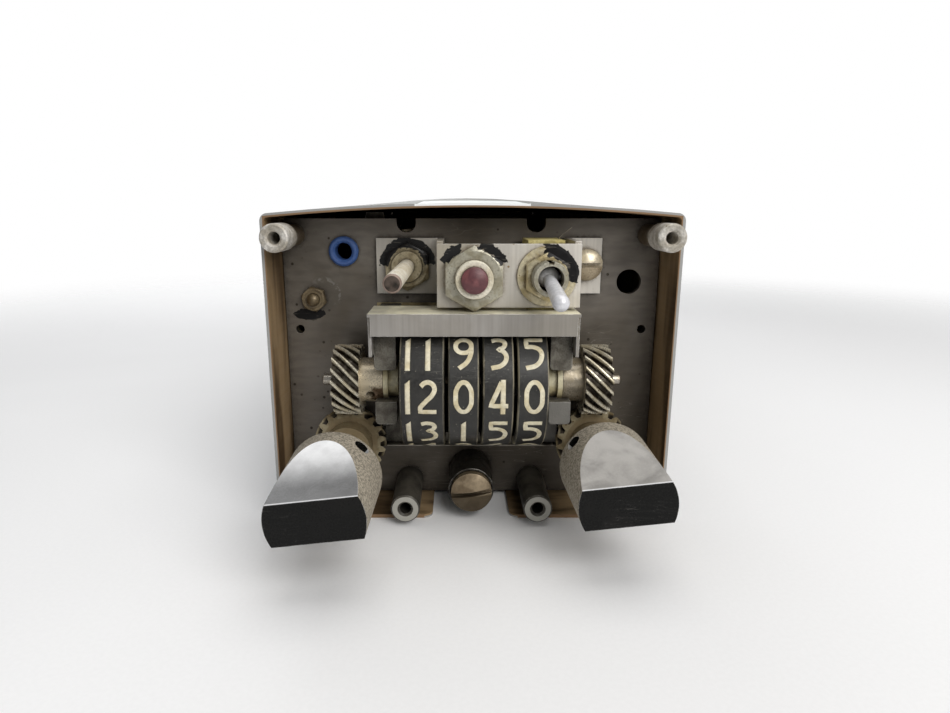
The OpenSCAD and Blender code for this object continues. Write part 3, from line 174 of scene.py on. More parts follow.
def under(tree, value, limit):
    return calc(tree, "LESS_THAN", value, limit)


def between(tree, value, lower, upper):
    return product(tree, over(tree, value, lower), under(tree, value, upper))


def spread(tree, value, fromLow, fromHigh, toLow=0.0, toHigh=1.0):
    # the value's place between two limits, eased at both ends
    node = tree.nodes.new("ShaderNodeMapRange")
    node.interpolation_type = "SMOOTHSTEP"
    for index, number in enumerate((value, fromLow, fromHigh, toLow, toHigh)):
        feed(tree, node.inputs[index], number)
    return node.outputs[0]


def blendColour(tree, share, a, b, mode="MIX"):
    node = tree.nodes.new("ShaderNodeMix")
    node.data_type = "RGBA"
    node.blend_type = mode
    feed(tree, node.inputs[0], share)
    feed(tree, node.inputs[6], a)
    feed(tree, node.inputs[7], b)
    return node.outputs[2]


def cloud(tree, coords, scale, detail, distortion=0.0, stretch=None, turn=0.0):
    if stretch:
        mapping = add(tree, "Mapping", Vector=coords)
        mapping.inputs["Scale"].default_value = stretch
        mapping.inputs["Rotation"].default_value = (0, turn, 0)
        coords = mapping.outputs[0]
    noise = add(tree, "TexNoise", Vector=coords, Scale=scale, Detail=detail, Distortion=distortion)
    return noise.outputs[0]


def hairlines(tree, coords, scale, width, stretch, turn):
    # thin broken lines where a stretched cloud crosses its middle value
    lines = cloud(tree, coords, scale, 1.5, 0.6, stretch, turn)
    lines = calc(tree, "ABSOLUTE", minus(tree, lines, 0.5))
    lines = spread(tree, lines, 0.0, width, 1.0, 0.0)
    breaks = spread(tree, cloud(tree, coords, scale * 0.6, 2), 0.5, 0.62)
    return product(tree, lines, breaks)


def split(tree, vector):
    return add(tree, "SeparateXYZ", Vector=vector).outputs


def distance(tree, a, b):
    return calc(tree, "SQRT", plus(tree, product(tree, a, a), product(tree, b, b)))


def fromAxis(tree, place, centre):
    # how far across and up from an axis that runs front to back
    across = minus(tree, place[0], centre.x * mm)
    rise = minus(tree, place[2], centre.z * mm)
    return across, rise


def faceDirection(tree):
    return split(tree, add(tree, "NewGeometry").outputs["True Normal"])


def frontFace(tree, limit=-0.9):
    return under(tree, faceDirection(tree)[1], limit)


def wobble(tree, coords, scale, detail, reach, distortion=0.0):
    # an uneven shift of up to half the reach either way
    level = minus(tree, cloud(tree, coords, scale, detail, distortion), 0.5)
    return product(tree, level, reach)


def specked(tree, coords, colour, look):
    speckColour, scale, size = look["specks"]
    cells = add(tree, "TexVoronoi", Vector=coords, Scale=scale, Randomness=1.0).outputs["Distance"]
    few = spread(tree, cloud(tree, coords, scale * 0.4, 2), 0.5, 0.6)
    specks = product(tree, spread(tree, cells, size * 0.6, size, 1.0, 0.0), few)
    return blendColour(tree, specks, colour, speckColour)


def scratched(tree, coords, colour, look):
    scratchColour, width = look["scratch"]
    for turn, stretch in ((0.5, (1, 1, 9)), (-0.9, (1, 1, 12))):
        lines = hairlines(tree, coords, look["scratchScale"], width, stretch, turn)
        colour = blendColour(tree, product(tree, lines, 0.7), colour, scratchColour)
    return colour


def grimy(tree, fine, colour, rough, look):
    # dirt gathers in the corners and dulls them; this darkening, placed by ambient occlusion where corners
    # are sheltered, is also painted shade
    grimeShadeColour, reach, share = look["grimeAndShade"]
    shelter = add(tree, "AmbientOcclusion", {"samples": 6}, Distance=reach * mm).outputs["AO"]
    uneven = plus(tree, shelter, product(tree, minus(tree, fine, 0.5), 0.5))
    dirtyShaded = spread(tree, uneven, 0.35, 0.85, share, 0.0)
    colour = blendColour(tree, dirtyShaded, colour, grimeShadeColour)
    return colour, duller(tree, rough, dirtyShaded, 0.25)


def wornEdges(tree, coords, rounded, colour, look):
    # the edge shows where the rounded normal leaves the plain one
    edgeColour, share = look["edge"]
    facing = add(tree, "VectorMath", {"operation": "DOT_PRODUCT"})
    tree.links.new(rounded, facing.inputs[0])
    tree.links.new(add(tree, "NewGeometry").outputs["Normal"], facing.inputs[1])
    edge = spread(tree, facing.outputs["Value"], 0.75, 0.98, 1.0, 0.0)
    uneven = spread(tree, cloud(tree, coords, 600, 3), 0.35, 0.6)
    return blendColour(tree, product(tree, edge, uneven, share), colour, edgeColour)


finishes = {}


def makeFinish(name, look, wearers=(), extra=None):
    # makes an aged material and puts it on the nodes that wear it
    mat = bpy.data.materials.new(name)
    mat.use_nodes = True
    tree = mat.node_tree
    shader = tree.nodes["Principled BSDF"]
    coords = add(tree, "TexCoord").outputs["Object"]
    rounded = add(tree, "Bevel", {"samples": 4}, Radius=look.get("edgeRadius", 0.15) * mm).outputs[0]

    patches = cloud(tree, coords, look.get("patchScale", 300), 4, 0.4)
    fine = cloud(tree, coords, look.get("fineScale", 1400), 3)
    patched = spread(tree, patches, *look.get("patchRange", (0.4, 0.62)))
    colour = blendColour(tree, patched, look["base"], look["patch"])
    grain = fine
    if "grain" in look:
        grain = cloud(tree, coords, look["grainScale"], 4, 0, look["grain"])
    depth = look.get("grainDepth", 0.1)
    shade = spread(tree, grain, 0.3, 0.7, 1 - depth, 1 + depth)
    colour = blendColour(tree, 1.0, colour, shade, "MULTIPLY")
    uneven = plus(tree, product(tree, patches, 0.5), product(tree, grain, 0.5))
    rough = spread(tree, uneven, 0.35, 0.65, *look["rough"])

    if "specks" in look:
        colour = specked(tree, coords, colour, look)
    if "scratch" in look:
        colour = scratched(tree, coords, colour, look)
    if "grimeAndShade" in look:
        colour, rough = grimy(tree, fine, colour, rough, look)
    if "edge" in look:
        colour = wornEdges(tree, coords, rounded, colour, look)
    if extra:
        colour, rough = extra(tree, coords, colour, rough)

    feed(tree, shader.inputs["Base Color"], colour)
    feed(tree, shader.inputs["Roughness"], rough)
    shader.inputs["Metallic"].default_value = look.get("metal", 0.0)
    shader.inputs["Specular IOR Level"].default_value = look.get("shine", 0.5)
    bump = add(tree, "Bump", Strength=look.get("bump", 0.2), Distance=0.0001, Height=grain, Normal=rounded)
    tree.links.new(bump.outputs[0], shader.inputs["Normal"])
    finishes[name] = mat
    for nodeName in wearers:
        mesh = nodes[nodeName].data
        mesh.materials.clear()
        mesh.materials.append(mat)


rust = seen(96, 52, 26)
# a near-black for dirt, also used as painted shade in sheltered corners
dirtShade = seen(24, 20, 15)

# black lacquer brushed over the nuts: inner and outer reach from the nut's axis, from and to degrees
lacquerLook = {
    "colour": seen(15, 14, 14), "streak": seen(74, 70, 64), "ragged": 1.5, "raggedTurn": 0.5,
    "strokes": [
        {"about": "volume_nut", "reach": (3.8, 6.0), "degrees": (4, 180)},
        {"about": "button_nut", "reach": (5.5, 7.3), "degrees": (28, 82)},
        {"about": "button_nut", "reach": (5.6, 7.4), "degrees": (112, 150)},
        {"about": "toggle_nut", "reach": (3.75, 6.2), "degrees": (-12, 96)},
    ],
    "blot": {"about": "trimmer_nut", "shift": (-1.3, 0, -3.4), "half": (3.4, 1.3), "ragged": 0.7},
}


def raggedRim(tree, coords, reach):
    return wobble(tree, coords, 720, 5, reach, 0.8)


def lacquerCoat(tree, coords, total, colour):
    thin = spread(tree, cloud(tree, coords, 300, 3, 0.5, (1, 1, 7), 0.7), 0.6, 0.68)
    coat = blendColour(tree, thin, lacquerLook["colour"], lacquerLook["streak"])
    return blendColour(tree, total, colour, coat)


def lacquer(tree, coords, colour, rough):
    place = split(tree, coords)
    raggedEdge = raggedRim(tree, coords, lacquerLook["ragged"] * mm)
    raggedEnd = raggedRim(tree, coords, lacquerLook["raggedTurn"])
    total = 0.0
    for stroke in lacquerLook["strokes"]:
        side, rise = fromAxis(tree, place, middle(stroke["about"]))
        away = plus(tree, distance(tree, side, rise), raggedEdge)
        turn = plus(tree, calc(tree, "ARCTAN2", rise, side), raggedEnd)
        ring = between(tree, away, *(radius * mm for radius in stroke["reach"]))
        arc = between(tree, turn, *(math.radians(angle) for angle in stroke["degrees"]))
        total = calc(tree, "MAXIMUM", total, product(tree, ring, arc))
    return lacquerCoat(tree, coords, total, colour), rough


def lacquerBlot(tree, coords, colour):
    # one dab under the trimmer's nut
    blot = lacquerLook["blot"]
    centre = middle(blot["about"]) + Vector(blot["shift"])
    side, rise = fromAxis(tree, split(tree, coords), centre)
    halfWide, halfHigh = (half * mm for half in blot["half"])
    away = distance(tree, calc(tree, "DIVIDE", side, halfWide), calc(tree, "DIVIDE", rise, halfHigh))
    away = plus(tree, away, raggedRim(tree, coords, blot["ragged"]))
    return lacquerCoat(tree, coords, under(tree, away, 1.0), colour)


# dust cover

coverLook = {
    "outside": {
        "base": seen(158, 158, 156), "patch": seen(149, 148, 145), "rough": (0.5, 0.66), "metal": 0.1,
        "shine": 0.2, "patchScale": 30, "grain": (14, 1, 14), "grainScale": 60, "grainDepth": 0.05,
        "bump": 0.08, "specks": (seen(95, 88, 78), 260, 0.12), "edge": (seen(196, 168, 136), 0.5)},
    "inside": seen(158, 134, 102), "insideDark": seen(86, 68, 47), "rawEdge": seen(132, 106, 80),
    "wallMiddle": 40.85, "floorMiddle": 0.4, "upperHalf": 40, "bareWall": 40.7,
    "bareRise": (63.55, 1.9, 39.65), "cutDepth": 0.02,
    "label": {
        "half": 11.2, "long": 26, "colour": seen(240, 243, 243), "border": seen(150, 152, 150),
        "margin": 0.5}}


def coverSides(tree, coords, colour, rough):
    # the inner faces are bronze and the cut front edge is bare and tanned
    place = split(tree, coords)
    normal = faceDirection(tree)
    across = calc(tree, "ABSOLUTE", place[0])
    upper = over(tree, place[2], coverLook["upperHalf"] * mm)
    topside = product(tree, over(tree, normal[2], 0.3), upper)
    outerWall = over(tree, across, coverLook["wallMiddle"] * mm)
    underside = under(tree, place[2], coverLook["floorMiddle"] * mm)
    outer = calc(tree, "MAXIMUM", calc(tree, "MAXIMUM", outerWall, underside), topside)
    streaks = spread(tree, cloud(tree, coords, 60, 3, 0.3, (1, 3, 0.5)), 0.35, 0.65)
    bronze = blendColour(tree, streaks, coverLook["inside"], coverLook["insideDark"])
    colour = blendColour(tree, outer, bronze, colour)

    # a white patch with a thin border on the top near the front
    label = coverLook["label"]
    for margin, paper in ((0, label["border"]), (label["margin"], label["colour"])):
        beside = under(tree, across, (label["half"] - margin) * mm)
        along = under(tree, place[1], (coverFront + label["long"] - margin) * mm)
        colour = blendColour(tree, product(tree, beside, along, topside), colour, paper)

    # paint wraps over the outer half of the front edge, the inner half is bare
    height, crown, reach = coverLook["bareRise"]
    bowed = calc(tree, "DIVIDE", across, reach * mm)
    bowed = minus(tree, 1.0, product(tree, bowed, bowed))
    topLine = plus(tree, product(tree, bowed, crown * mm), height * mm)
    inner = product(tree, under(tree, across, coverLook["bareWall"] * mm), under(tree, place[2], topLine))
    atFront = under(tree, place[1], (coverFront + coverLook["cutDepth"]) * mm)
    cut = product(tree, atFront, under(tree, normal[1], -0.5))
    painted = product(tree, cut, minus(tree, 1.0, inner))
    colour = blendColour(tree, painted, colour, coverLook["outside"]["base"])
    # the white patch carries on over the painted half of the front edge
    whitePatchShare = product(tree, painted, under(tree, across, label["half"] * mm), upper)
    colour = blendColour(tree, whitePatchShare, colour, label["colour"])
    return blendColour(tree, product(tree, cut, inner), colour, coverLook["rawEdge"]), rough


makeFinish("coverPaint", coverLook["outside"], ["dust_cover"], coverSides)
print("dust cover dressed")


# front plate

plateLook = {
    "base": seen(116, 110, 102), "patch": seen(84, 77, 67), "rough": (0.38, 0.6), "metal": 0.55,
    "patchScale": 34, "patchRange": (0.36, 0.66), "grain": (0.25, 1, 1), "grainScale": 700,
    "grainDepth": 0.12, "scratch": (seen(140, 134, 124), 0.004), "scratchScale": 55,
    "specks": (seen(54, 47, 38), 420, 0.16), "grimeAndShade": (dirtShade, 2.5, 0.75),
    "edge": (seen(196, 190, 178), 0.9), "shade": {"from": 0, "to": 34, "least": 0.84},
    "foot": {
        "level": 12.2, "half": 19.0, "slack": 0.05, "deep": (0.1, 0.3), "colour": seen(186, 180, 168)},
    "scar": {
        "ring": 3.2, "wide": (0.2, 0.8), "shift": (2.1, 0, 0.9), "upper": (-1.0, 2.5),
        "colour": seen(118, 114, 107)}}


def scarShare(tree, coords):
    # a rubbed ring beside the trimmer's nut, strongest at its upper right
    scar = plateLook["scar"]
    centre = middle("trimmer_nut") + Vector(scar["shift"])
    side, rise = fromAxis(tree, split(tree, coords), centre)
    offRing = calc(tree, "ABSOLUTE", minus(tree, distance(tree, side, rise), scar["ring"] * mm))
    ring = spread(tree, offRing, *(wide * mm for wide in scar["wide"]), 1.0, 0.0)
    upper = spread(tree, plus(tree, side, rise), *(reach * mm for reach in scar["upper"]))
    rubbed = spread(tree, cloud(tree, coords, 900, 4, 1.2), 0.46, 0.6)
    return product(tree, ring, rubbed, upper)


def footShare(tree, coords):
    # the window's lower edge is worn bright, and the band is also a painted highlight where the edge
    # catches the light
    foot = plateLook["foot"]
    place = split(tree, coords)
    drop = minus(tree, foot["level"] * mm, place[2])
    edge = spread(tree, drop, *(deep * mm for deep in foot["deep"]), 1.0, 0.0)
    beside = under(tree, calc(tree, "ABSOLUTE", place[0]), foot["half"] * mm)
    below = over(tree, drop, -foot["slack"] * mm)
    patchy = spread(tree, cloud(tree, coords, 260, 3), 0.3, 0.5)
    return product(tree, edge, beside, below, patchy)


def plateMarks(tree, coords, colour, rough):
    # painted shade: the plate is darker towards its foot
    shade = plateLook["shade"]
    height = split(tree, coords)[2]
    darker = spread(tree, height, shade["from"] * mm, shade["to"] * mm, shade["least"], 1.0)
    colour = blendColour(tree, 1.0, colour, darker, "MULTIPLY")
    colour = blendColour(tree, footShare(tree, coords), colour, plateLook["foot"]["colour"])
    colour = blendColour(tree, scarShare(tree, coords), colour, plateLook["scar"]["colour"])
    return lacquerBlot(tree, coords, colour), rough


makeFinish("plateFinish", plateLook, ["front_plate"], plateMarks)
print("front plate dressed")


# metal and plastic finishes of the other nodes

standoffLook = {
    "base": seen(212, 208, 201), "patch": seen(168, 161, 148), "rough": (0.4, 0.62), "metal": 0.12,
    "patchScale": 330, "fineScale": 2600, "grainDepth": 0.2, "bump": 0.4,
    "specks": (seen(112, 98, 76), 900, 0.22), "edge": (seen(232, 228, 222), 0.8),
    "neck": seen(74, 58, 34), "neckFrom": (5.0, 9.5), "neckShare": 0.92, "neckRagged": 5, "end": 0.8}


def stainedNeck(tree, coords, colour, rough):
    # brown residue and the cover's painted shadow run up the barrel from the plate, and the front face is
    # darkened as painted shade
    paintedShading = spread(tree, frontFace(tree), 0.0, 1.0, 1.0, standoffLook["end"])
    colour = blendColour(tree, 1.0, colour, paintedShading, "MULTIPLY")
    fromPlate = minus(tree, plateFront * mm, split(tree, coords)[1])
    ragged = wobble(tree, coords, 500, 4, standoffLook["neckRagged"] * mm, 0.6)
    near, far = (reach * mm for reach in standoffLook["neckFrom"])
    tint = spread(tree, plus(tree, fromPlate, ragged), near, far, standoffLook["neckShare"], 0.0)
    return blendColour(tree, tint, colour, standoffLook["neck"]), rough


makeFinish("standoffMetal", standoffLook, ["upper_standoffs"], stainedNeck)

darkStandoffLook = {
    "base": seen(80, 76, 68), "patch": seen(54, 51, 45), "rough": (0.32, 0.5), "metal": 0.2,
    "patchScale": 240, "fineScale": 2400, "bump": 0.3, "grimeAndShade": (dirtShade, 6.0, 0.8),
    "edge": (seen(228, 226, 218), 1.0), "edgeRadius": 0.25, "end": seen(178, 176, 167),
    "endShare": 0.75}


def paleEnd(tree, coords, colour, rough):
    # the front face is lighter than the barrel
    share = product(tree, frontFace(tree), darkStandoffLook["endShare"])
    return blendColour(tree, share, colour, darkStandoffLook["end"]), rough


makeFinish("darkStandoff", darkStandoffLook, ["lower_standoffs"], paleEnd)

bracketLook = {
    "base": seen(200, 195, 186), "patch": seen(180, 172, 156), "rough": (0.36, 0.52), "metal": 0.3,
    "patchScale": 70, "grain": (18, 1, 0.6), "grainScale": 110, "grainDepth": 0.05, "bump": 0.12,
    "grimeAndShade": (seen(96, 78, 48), 1.4, 0.85), "specks": (seen(140, 122, 92), 500, 0.14),
    "edge": (seen(240, 238, 234), 0.9), "edgeRadius": 0.2, "paintedShading": (0.74, 1.14)}


def bracketShade(tree, coords, colour, rough):
    # painted shade and highlight: the bracket is darker at its left end and lighter at its right end
    left, right = low("switch_bracket").x * mm, high("switch_bracket").x * mm
    paintedShading = spread(tree, split(tree, coords)[0], left, right, *bracketLook["paintedShading"])
    return lacquer(tree, coords, blendColour(tree, 1.0, colour, paintedShading, "MULTIPLY"), rough)


makeFinish("bracketMetal", bracketLook, ["switch_bracket"], bracketShade)

maskLook = {
    "tint": seen(255, 250, 222), "base": seen(158, 154, 149), "patch": seen(142, 137, 129),
    "rough": (0.34, 0.5), "metal": 0.2, "patchScale": 60, "edgeRadius": 0.22, "grain": (18, 1, 0.6),
    "grainScale": 110, "grainDepth": 0.06, "bump": 0.12, "grimeAndShade": (seen(104, 88, 56), 2.5, 0.75),
    "specks": (seen(110, 98, 76), 420, 0.14), "edge": (seen(246, 245, 242), 1.0)}


def stainedTop(tree, coords, colour, rough):
    # the mask's flat top has a warm beige stain, painted much lighter as a painted highlight from the light
    # above
    blotch = spread(tree, cloud(tree, coords, 140, 4, 0.6), 0.32, 0.66, 0.45, 1.0)
    share = product(tree, over(tree, faceDirection(tree)[2], 0.5), blotch)
    return blendColour(tree, share, colour, maskLook["tint"]), rough


makeFinish("maskMetal", maskLook, ["window_mask"], stainedTop)

castLook = {
    "base": seen(118, 114, 104), "patch": seen(94, 89, 80), "rough": (0.45, 0.7), "metal": 0.4,
    "patchScale": 420, "fineScale": 3200, "grainDepth": 0.22, "bump": 0.6, "edgeRadius": 0.3,
    "grimeAndShade": (dirtShade, 4.0, 0.85), "edge": (seen(218, 216, 210), 0.85), "paleJaw": seen(132, 130, 125),
    "jawFrom": 5, "jawShare": 0.8}


def paleJaw(tree, coords, colour, rough):
    # painted light: the right cheek's lower jaw is lighter than the rest, where light falls from the right
    place = split(tree, coords)
    right = over(tree, place[0], castLook["jawFrom"] * mm)
    lower = under(tree, place[2], middle("units_shaft").z * mm)
    share = product(tree, right, lower, frontFace(tree, -0.5), castLook["jawShare"])
    return blendColour(tree, share, colour, castLook["paleJaw"]), rough


makeFinish("castMetal", castLook, ["drum_frame"], paleJaw)
makeFinish("platedSteel", {
    "base": seen(188, 182, 172), "patch": seen(160, 150, 134), "rough": (0.22, 0.42), "metal": 0.85,
    "grain": (1, 14, 1), "grainScale": 200, "grimeAndShade": (seen(80, 62, 36), 1.2, 0.8),
    "edge": (seen(236, 232, 224), 0.7)}, [
        "cover_screws", "rear_panel_screws", "units_shaft", "hundredths_shaft", "left_shaft",
        "right_shaft", "left_detent_wheel", "right_detent_wheel", "bracket_screw_washer"])

creamLook = {
    "base": seen(244, 237, 220), "patch": seen(222, 211, 186), "rough": (0.35, 0.55), "metal": 0.2,
    "fineScale": 2600, "bump": 0.25, "specks": (seen(140, 112, 76), 700, 0.18),
    "grimeAndShade": (seen(84, 66, 40), 2.0, 0.9), "end": seen(30, 25, 19), "ring": seen(98, 60, 48),
    "ringReach": (0.35, 0.75), "endDull": 0.45}


def stainedEnd(tree, coords, colour, rough):
    # the shaft's front face is brown, with a red-brown band round its rim
    tip = minus(tree, split(tree, coords)[1], low("volume_shaft").y * mm)
    band = spread(tree, tip, *(reach * mm for reach in creamLook["ringReach"]), 0.8, 0.0)
    colour = blendColour(tree, band, colour, creamLook["ring"])
    front = frontFace(tree)
    blotch = spread(tree, cloud(tree, coords, 600, 4), 0.3, 0.65, 0.7, 1.0)
    colour = blendColour(tree, product(tree, front, blotch), colour, creamLook["end"])
    return colour, duller(tree, rough, front, creamLook["endDull"])


makeFinish("stainedShaft", creamLook, ["volume_shaft"], stainedEnd)
makeFinish("oldNickel", {
    "base": seen(174, 170, 154), "patch": seen(148, 142, 122), "rough": (0.26, 0.46), "metal": 0.4,
    "patchScale": 380, "fineScale": 2400, "specks": (seen(128, 110, 74), 900, 0.12),
    "grimeAndShade": (seen(70, 54, 28), 1.1, 0.95), "edge": (seen(240, 236, 222), 0.8)},
    ["button_nut", "toggle_bushing", "antenna_jack"], lacquer)
makeFinish("paleBushing", {
    "base": seen(226, 220, 202), "patch": seen(206, 197, 172), "rough": (0.35, 0.55), "metal": 0.15,
    "patchScale": 380, "fineScale": 2400, "bump": 0.25, "specks": (seen(140, 116, 76), 900, 0.12),
    "grimeAndShade": (seen(92, 72, 40), 0.9, 0.9)}, ["button_body"])
makeFinish("brownedNickel", {
    "base": seen(164, 153, 126), "patch": seen(126, 114, 88), "rough": (0.26, 0.48), "metal": 0.45,
    "patchScale": 420, "fineScale": 2400, "specks": (seen(84, 66, 40), 900, 0.14),
    "grimeAndShade": (seen(34, 26, 15), 1.1, 1.0), "edge": (seen(214, 202, 176), 0.7)},
    ["volume_nut", "volume_body"], lacquer)
makeFinish("stainedBrass", {
    "base": seen(116, 102, 78), "patch": seen(86, 72, 50), "rough": (0.3, 0.5), "metal": 0.4,
    "patchScale": 420, "fineScale": 2400, "grimeAndShade": (seen(34, 26, 15), 1.1, 0.9),
    "edge": (seen(196, 184, 154), 0.5)}, ["trimmer_nut", "trimmer_shaft"])
makeFinish("goldPlating", {
    "base": seen(206, 196, 166), "patch": seen(172, 157, 118), "rough": (0.28, 0.46), "metal": 0.45,
    "patchScale": 340, "fineScale": 2000, "specks": (seen(122, 94, 52), 800, 0.14),
    "grimeAndShade": (seen(64, 46, 20), 1.1, 0.95), "edge": (seen(232, 220, 188), 0.8)},
    ["toggle_washer", "toggle_nut", "shaft_bushes", "detent_springs"], lacquer)


shadeBelowLook = {"ragged": 1.2, "from": -0.3, "to": 0.7, "share": 0.8}


def darkBelow(node, below):
    # painted shade: the lower half of a screw's head, where it looks down, is darker
    centre = middle(node)
    near, far = shadeBelowLook["from"] * mm, shadeBelowLook["to"] * mm

    def paint(tree, coords, colour, rough):
        drop = minus(tree, centre.z * mm, split(tree, coords)[2])
        ragged = wobble(tree, coords, 500, 3, shadeBelowLook["ragged"] * mm)
        tint = spread(tree, plus(tree, drop, ragged), near, far, 0.0, shadeBelowLook["share"])
        return blendColour(tree, tint, colour, below), rough

    return paint


makeFinish("dullGold", {
    "base": seen(146, 130, 106), "patch": seen(112, 97, 76), "rough": (0.3, 0.5), "metal": 0.5,
    "fineScale": 2000, "bump": 0.3, "specks": (seen(86, 64, 38), 700, 0.2),
    "grimeAndShade": (seen(46, 36, 20), 1.2, 0.9), "edge": (seen(222, 208, 178), 0.8)},
    ["lock_screw"], darkBelow("lock_screw_sleeve", seen(62, 52, 36)))
makeFinish("paleScrew", {
    "base": seen(212, 200, 176), "patch": seen(198, 184, 154), "rough": (0.26, 0.38), "metal": 0.35,
    "patchScale": 260, "fineScale": 2000, "bump": 0.06, "specks": (seen(150, 126, 88), 800, 0.08),
    "grimeAndShade": (seen(60, 44, 20), 0.8, 0.9), "edge": (seen(240, 230, 204), 0.8)},
    ["bracket_screw"], darkBelow("bracket_screw", seen(140, 124, 98)))
makeFinish("darkSteel", {
    "base": seen(46, 43, 38), "patch": seen(32, 29, 25), "rough": (0.3, 0.5), "metal": 0.4,
    "bump": 0.25, "specks": (rust, 900, 0.2), "edge": (seen(214, 210, 200), 1.0), "edgeRadius": 0.2,
    "grimeAndShade": (dirtShade, 2.0, 0.6)}, ["lock_screw_sleeve", "left_set_screws", "right_set_screws"])


def dirtyGaps(node, axis, look, rustAt=None):
    # dark old grease and painted shade between the teeth, clean lands where they run on each other
    centre = middle(node)
    along, other = (0, 1) if axis == "x" else (1, 0)
    inner, outer = (radius * mm for radius in look["gap"])

    def paint(tree, coords, colour, rough):
        place = split(tree, coords)
        away = distance(tree, minus(tree, place[other], centre[other] * mm),
                        minus(tree, place[2], centre.z * mm))
        flank = under(tree, calc(tree, "ABSOLUTE", faceDirection(tree)[along]), 0.7)
        deep = spread(tree, away, inner, outer, 1.0, 0.0)
        outside = over(tree, away, look["root"] * mm)
        uneven = spread(tree, cloud(tree, coords, 900, 3), 0.3, 0.6, 0.8, 1.0)
        colour = blendColour(tree, product(tree, deep, outside, flank, uneven), colour, look["greaseAndShade"])
        onHub = under(tree, away, (look["root"] - look["hubSlack"]) * mm)
        hub = product(tree, onHub, look["hubShare"])
        colour = blendColour(tree, hub, colour, look["hub"])
        if rustAt:
            spot = add(tree, "VectorMath", {"operation": "DISTANCE"})
            tree.links.new(coords, spot.inputs[0])
            spot.inputs[1].default_value = Vector(rustAt) * mm
            ragged = wobble(tree, coords, 700, 4, look["rustRagged"] * mm)
            blotch = plus(tree, spot.outputs["Value"], ragged)
            near, far = (reach * mm for reach in look["rustReach"])
            colour = blendColour(tree, spread(tree, blotch, near, far, 0.9, 0.0), colour, look["rust"])
        return colour, rough

    return paint


pinionLook = {
    "base": seen(216, 209, 190), "patch": seen(194, 184, 158), "rough": (0.22, 0.4), "metal": 0.5,
    "patchScale": 420, "fineScale": 2600, "specks": (rust, 700, 0.14),
    "grimeAndShade": (seen(30, 22, 12), 0.6, 0.9), "edge": (seen(246, 242, 230), 0.5), "edgeRadius": 0.06,
    "gap": (6.7, 7.15), "root": 5.7, "hubSlack": 0.1, "hubShare": 0.75,
    "greaseAndShade": seen(40, 30, 18), "hub": seen(206, 192, 166),
    "rust": seen(88, 62, 38), "rustShift": (4.6, -4.0, -2.6), "rustReach": (1.6, 2.9),
    "rustRagged": 3}
rustSpot = middle("units_pinion") + Vector(pinionLook["rustShift"])
makeFinish("leftGearNickel", pinionLook, ["units_pinion"],
           dirtyGaps("units_pinion", "x", pinionLook, rustSpot))

rightPinionLook = {**pinionLook, "hub": seen(128, 116, 98)}
makeFinish("rightGearNickel", rightPinionLook, ["hundredths_pinion"],
           dirtyGaps("hundredths_pinion", "x", rightPinionLook))

driveLook = {
    "base": seen(150, 139, 112), "patch": seen(118, 104, 76), "rough": (0.4, 0.62), "metal": 0.35,
    "patchScale": 360, "fineScale": 2600, "bump": 0.35, "specks": (seen(86, 64, 34), 800, 0.22),
    "grimeAndShade": (seen(44, 33, 18), 1.2, 0.9), "edge": (seen(220, 212, 188), 0.8), "edgeRadius": 0.08,
    "gap": (7.0, 7.45), "root": 5.9, "hubSlack": 0.1, "hubShare": 0.75,
    "greaseAndShade": seen(34, 26, 16), "hub": seen(128, 112, 84)}
for side in ("left", "right"):
    gear = side + "_drive_gear"
    makeFinish(side + "GearBrass", driveLook, [gear], dirtyGaps(gear, "y", driveLook))
makeFinish("brightChrome", {
    "base": seen(222, 222, 226), "patch": seen(212, 213, 217), "rough": (0.3, 0.36), "metal": 0.2,
    "patchScale": 420, "bump": 0.03}, ["toggle_lever"])
makeFinish("maroonPlastic", {
    "base": seen(112, 66, 68), "patch": seen(90, 50, 54), "rough": (0.35, 0.5), "patchScale": 500,
    "bump": 0.1, "scratch": (seen(150, 110, 112), 0.004), "scratchScale": 500,
    "edgeRadius": 0.25}, ["button_plunger"])
makeFinish("blueNylon", {
    "base": seen(66, 96, 152), "patch": seen(56, 84, 138), "rough": (0.35, 0.5), "bump": 0.1,
    "edgeRadius": 0.3, "grimeAndShade": (seen(24, 30, 48), 0.8, 0.6)}, ["grommet"])
makeFinish("creamNylon", {
    "base": seen(212, 204, 172), "patch": seen(190, 178, 140), "rough": (0.4, 0.6), "patchScale": 400,
    "bump": 0.15, "grimeAndShade": (seen(92, 76, 44), 1.5, 0.7)}, ["drum_bearings"])
makeFinish("laminate", {
    "base": seen(196, 186, 120), "patch": seen(164, 150, 88), "rough": (0.5, 0.7), "patchScale": 260,
    "bump": 0.3, "grain": (1, 1, 12), "grainScale": 120, "grainDepth": 0.16,
    "grimeAndShade": (seen(56, 46, 20), 1.5, 0.7)}, ["switch_decks", "left_rotors", "right_rotors"])
makeFinish("paleLaminate", {
    "base": seen(226, 214, 150), "patch": seen(196, 182, 116), "rough": (0.5, 0.7), "patchScale": 260,
    "bump": 0.3, "grimeAndShade": (seen(56, 46, 20), 1.5, 0.8),
    "edge": (seen(70, 58, 32), 0.7)}, ["toggle_body"])
makeFinish("trayMetal", {
    "base": seen(176, 166, 134), "patch": seen(150, 138, 104), "rough": (0.35, 0.55), "metal": 0.6,
    "patchScale": 40, "grain": (1, 10, 1), "grainScale": 120, "grainDepth": 0.05, "bump": 0.15,
    "scratch": (seen(206, 200, 176), 0.004), "scratchScale": 70,
    "specks": (seen(120, 104, 70), 300, 0.12), "edge": (seen(220, 214, 196), 0.7),
    "grimeAndShade": (seen(70, 58, 36), 3.0, 0.6)}, ["chassis_tray", "rear_panel", "shield_box", "tuning_cans"])
makeFinish("boardLaminate", {
    "base": seen(44, 78, 46), "patch": seen(34, 64, 38), "rough": (0.3, 0.5), "patchScale": 120},
    ["main_board", "crystal_board"])
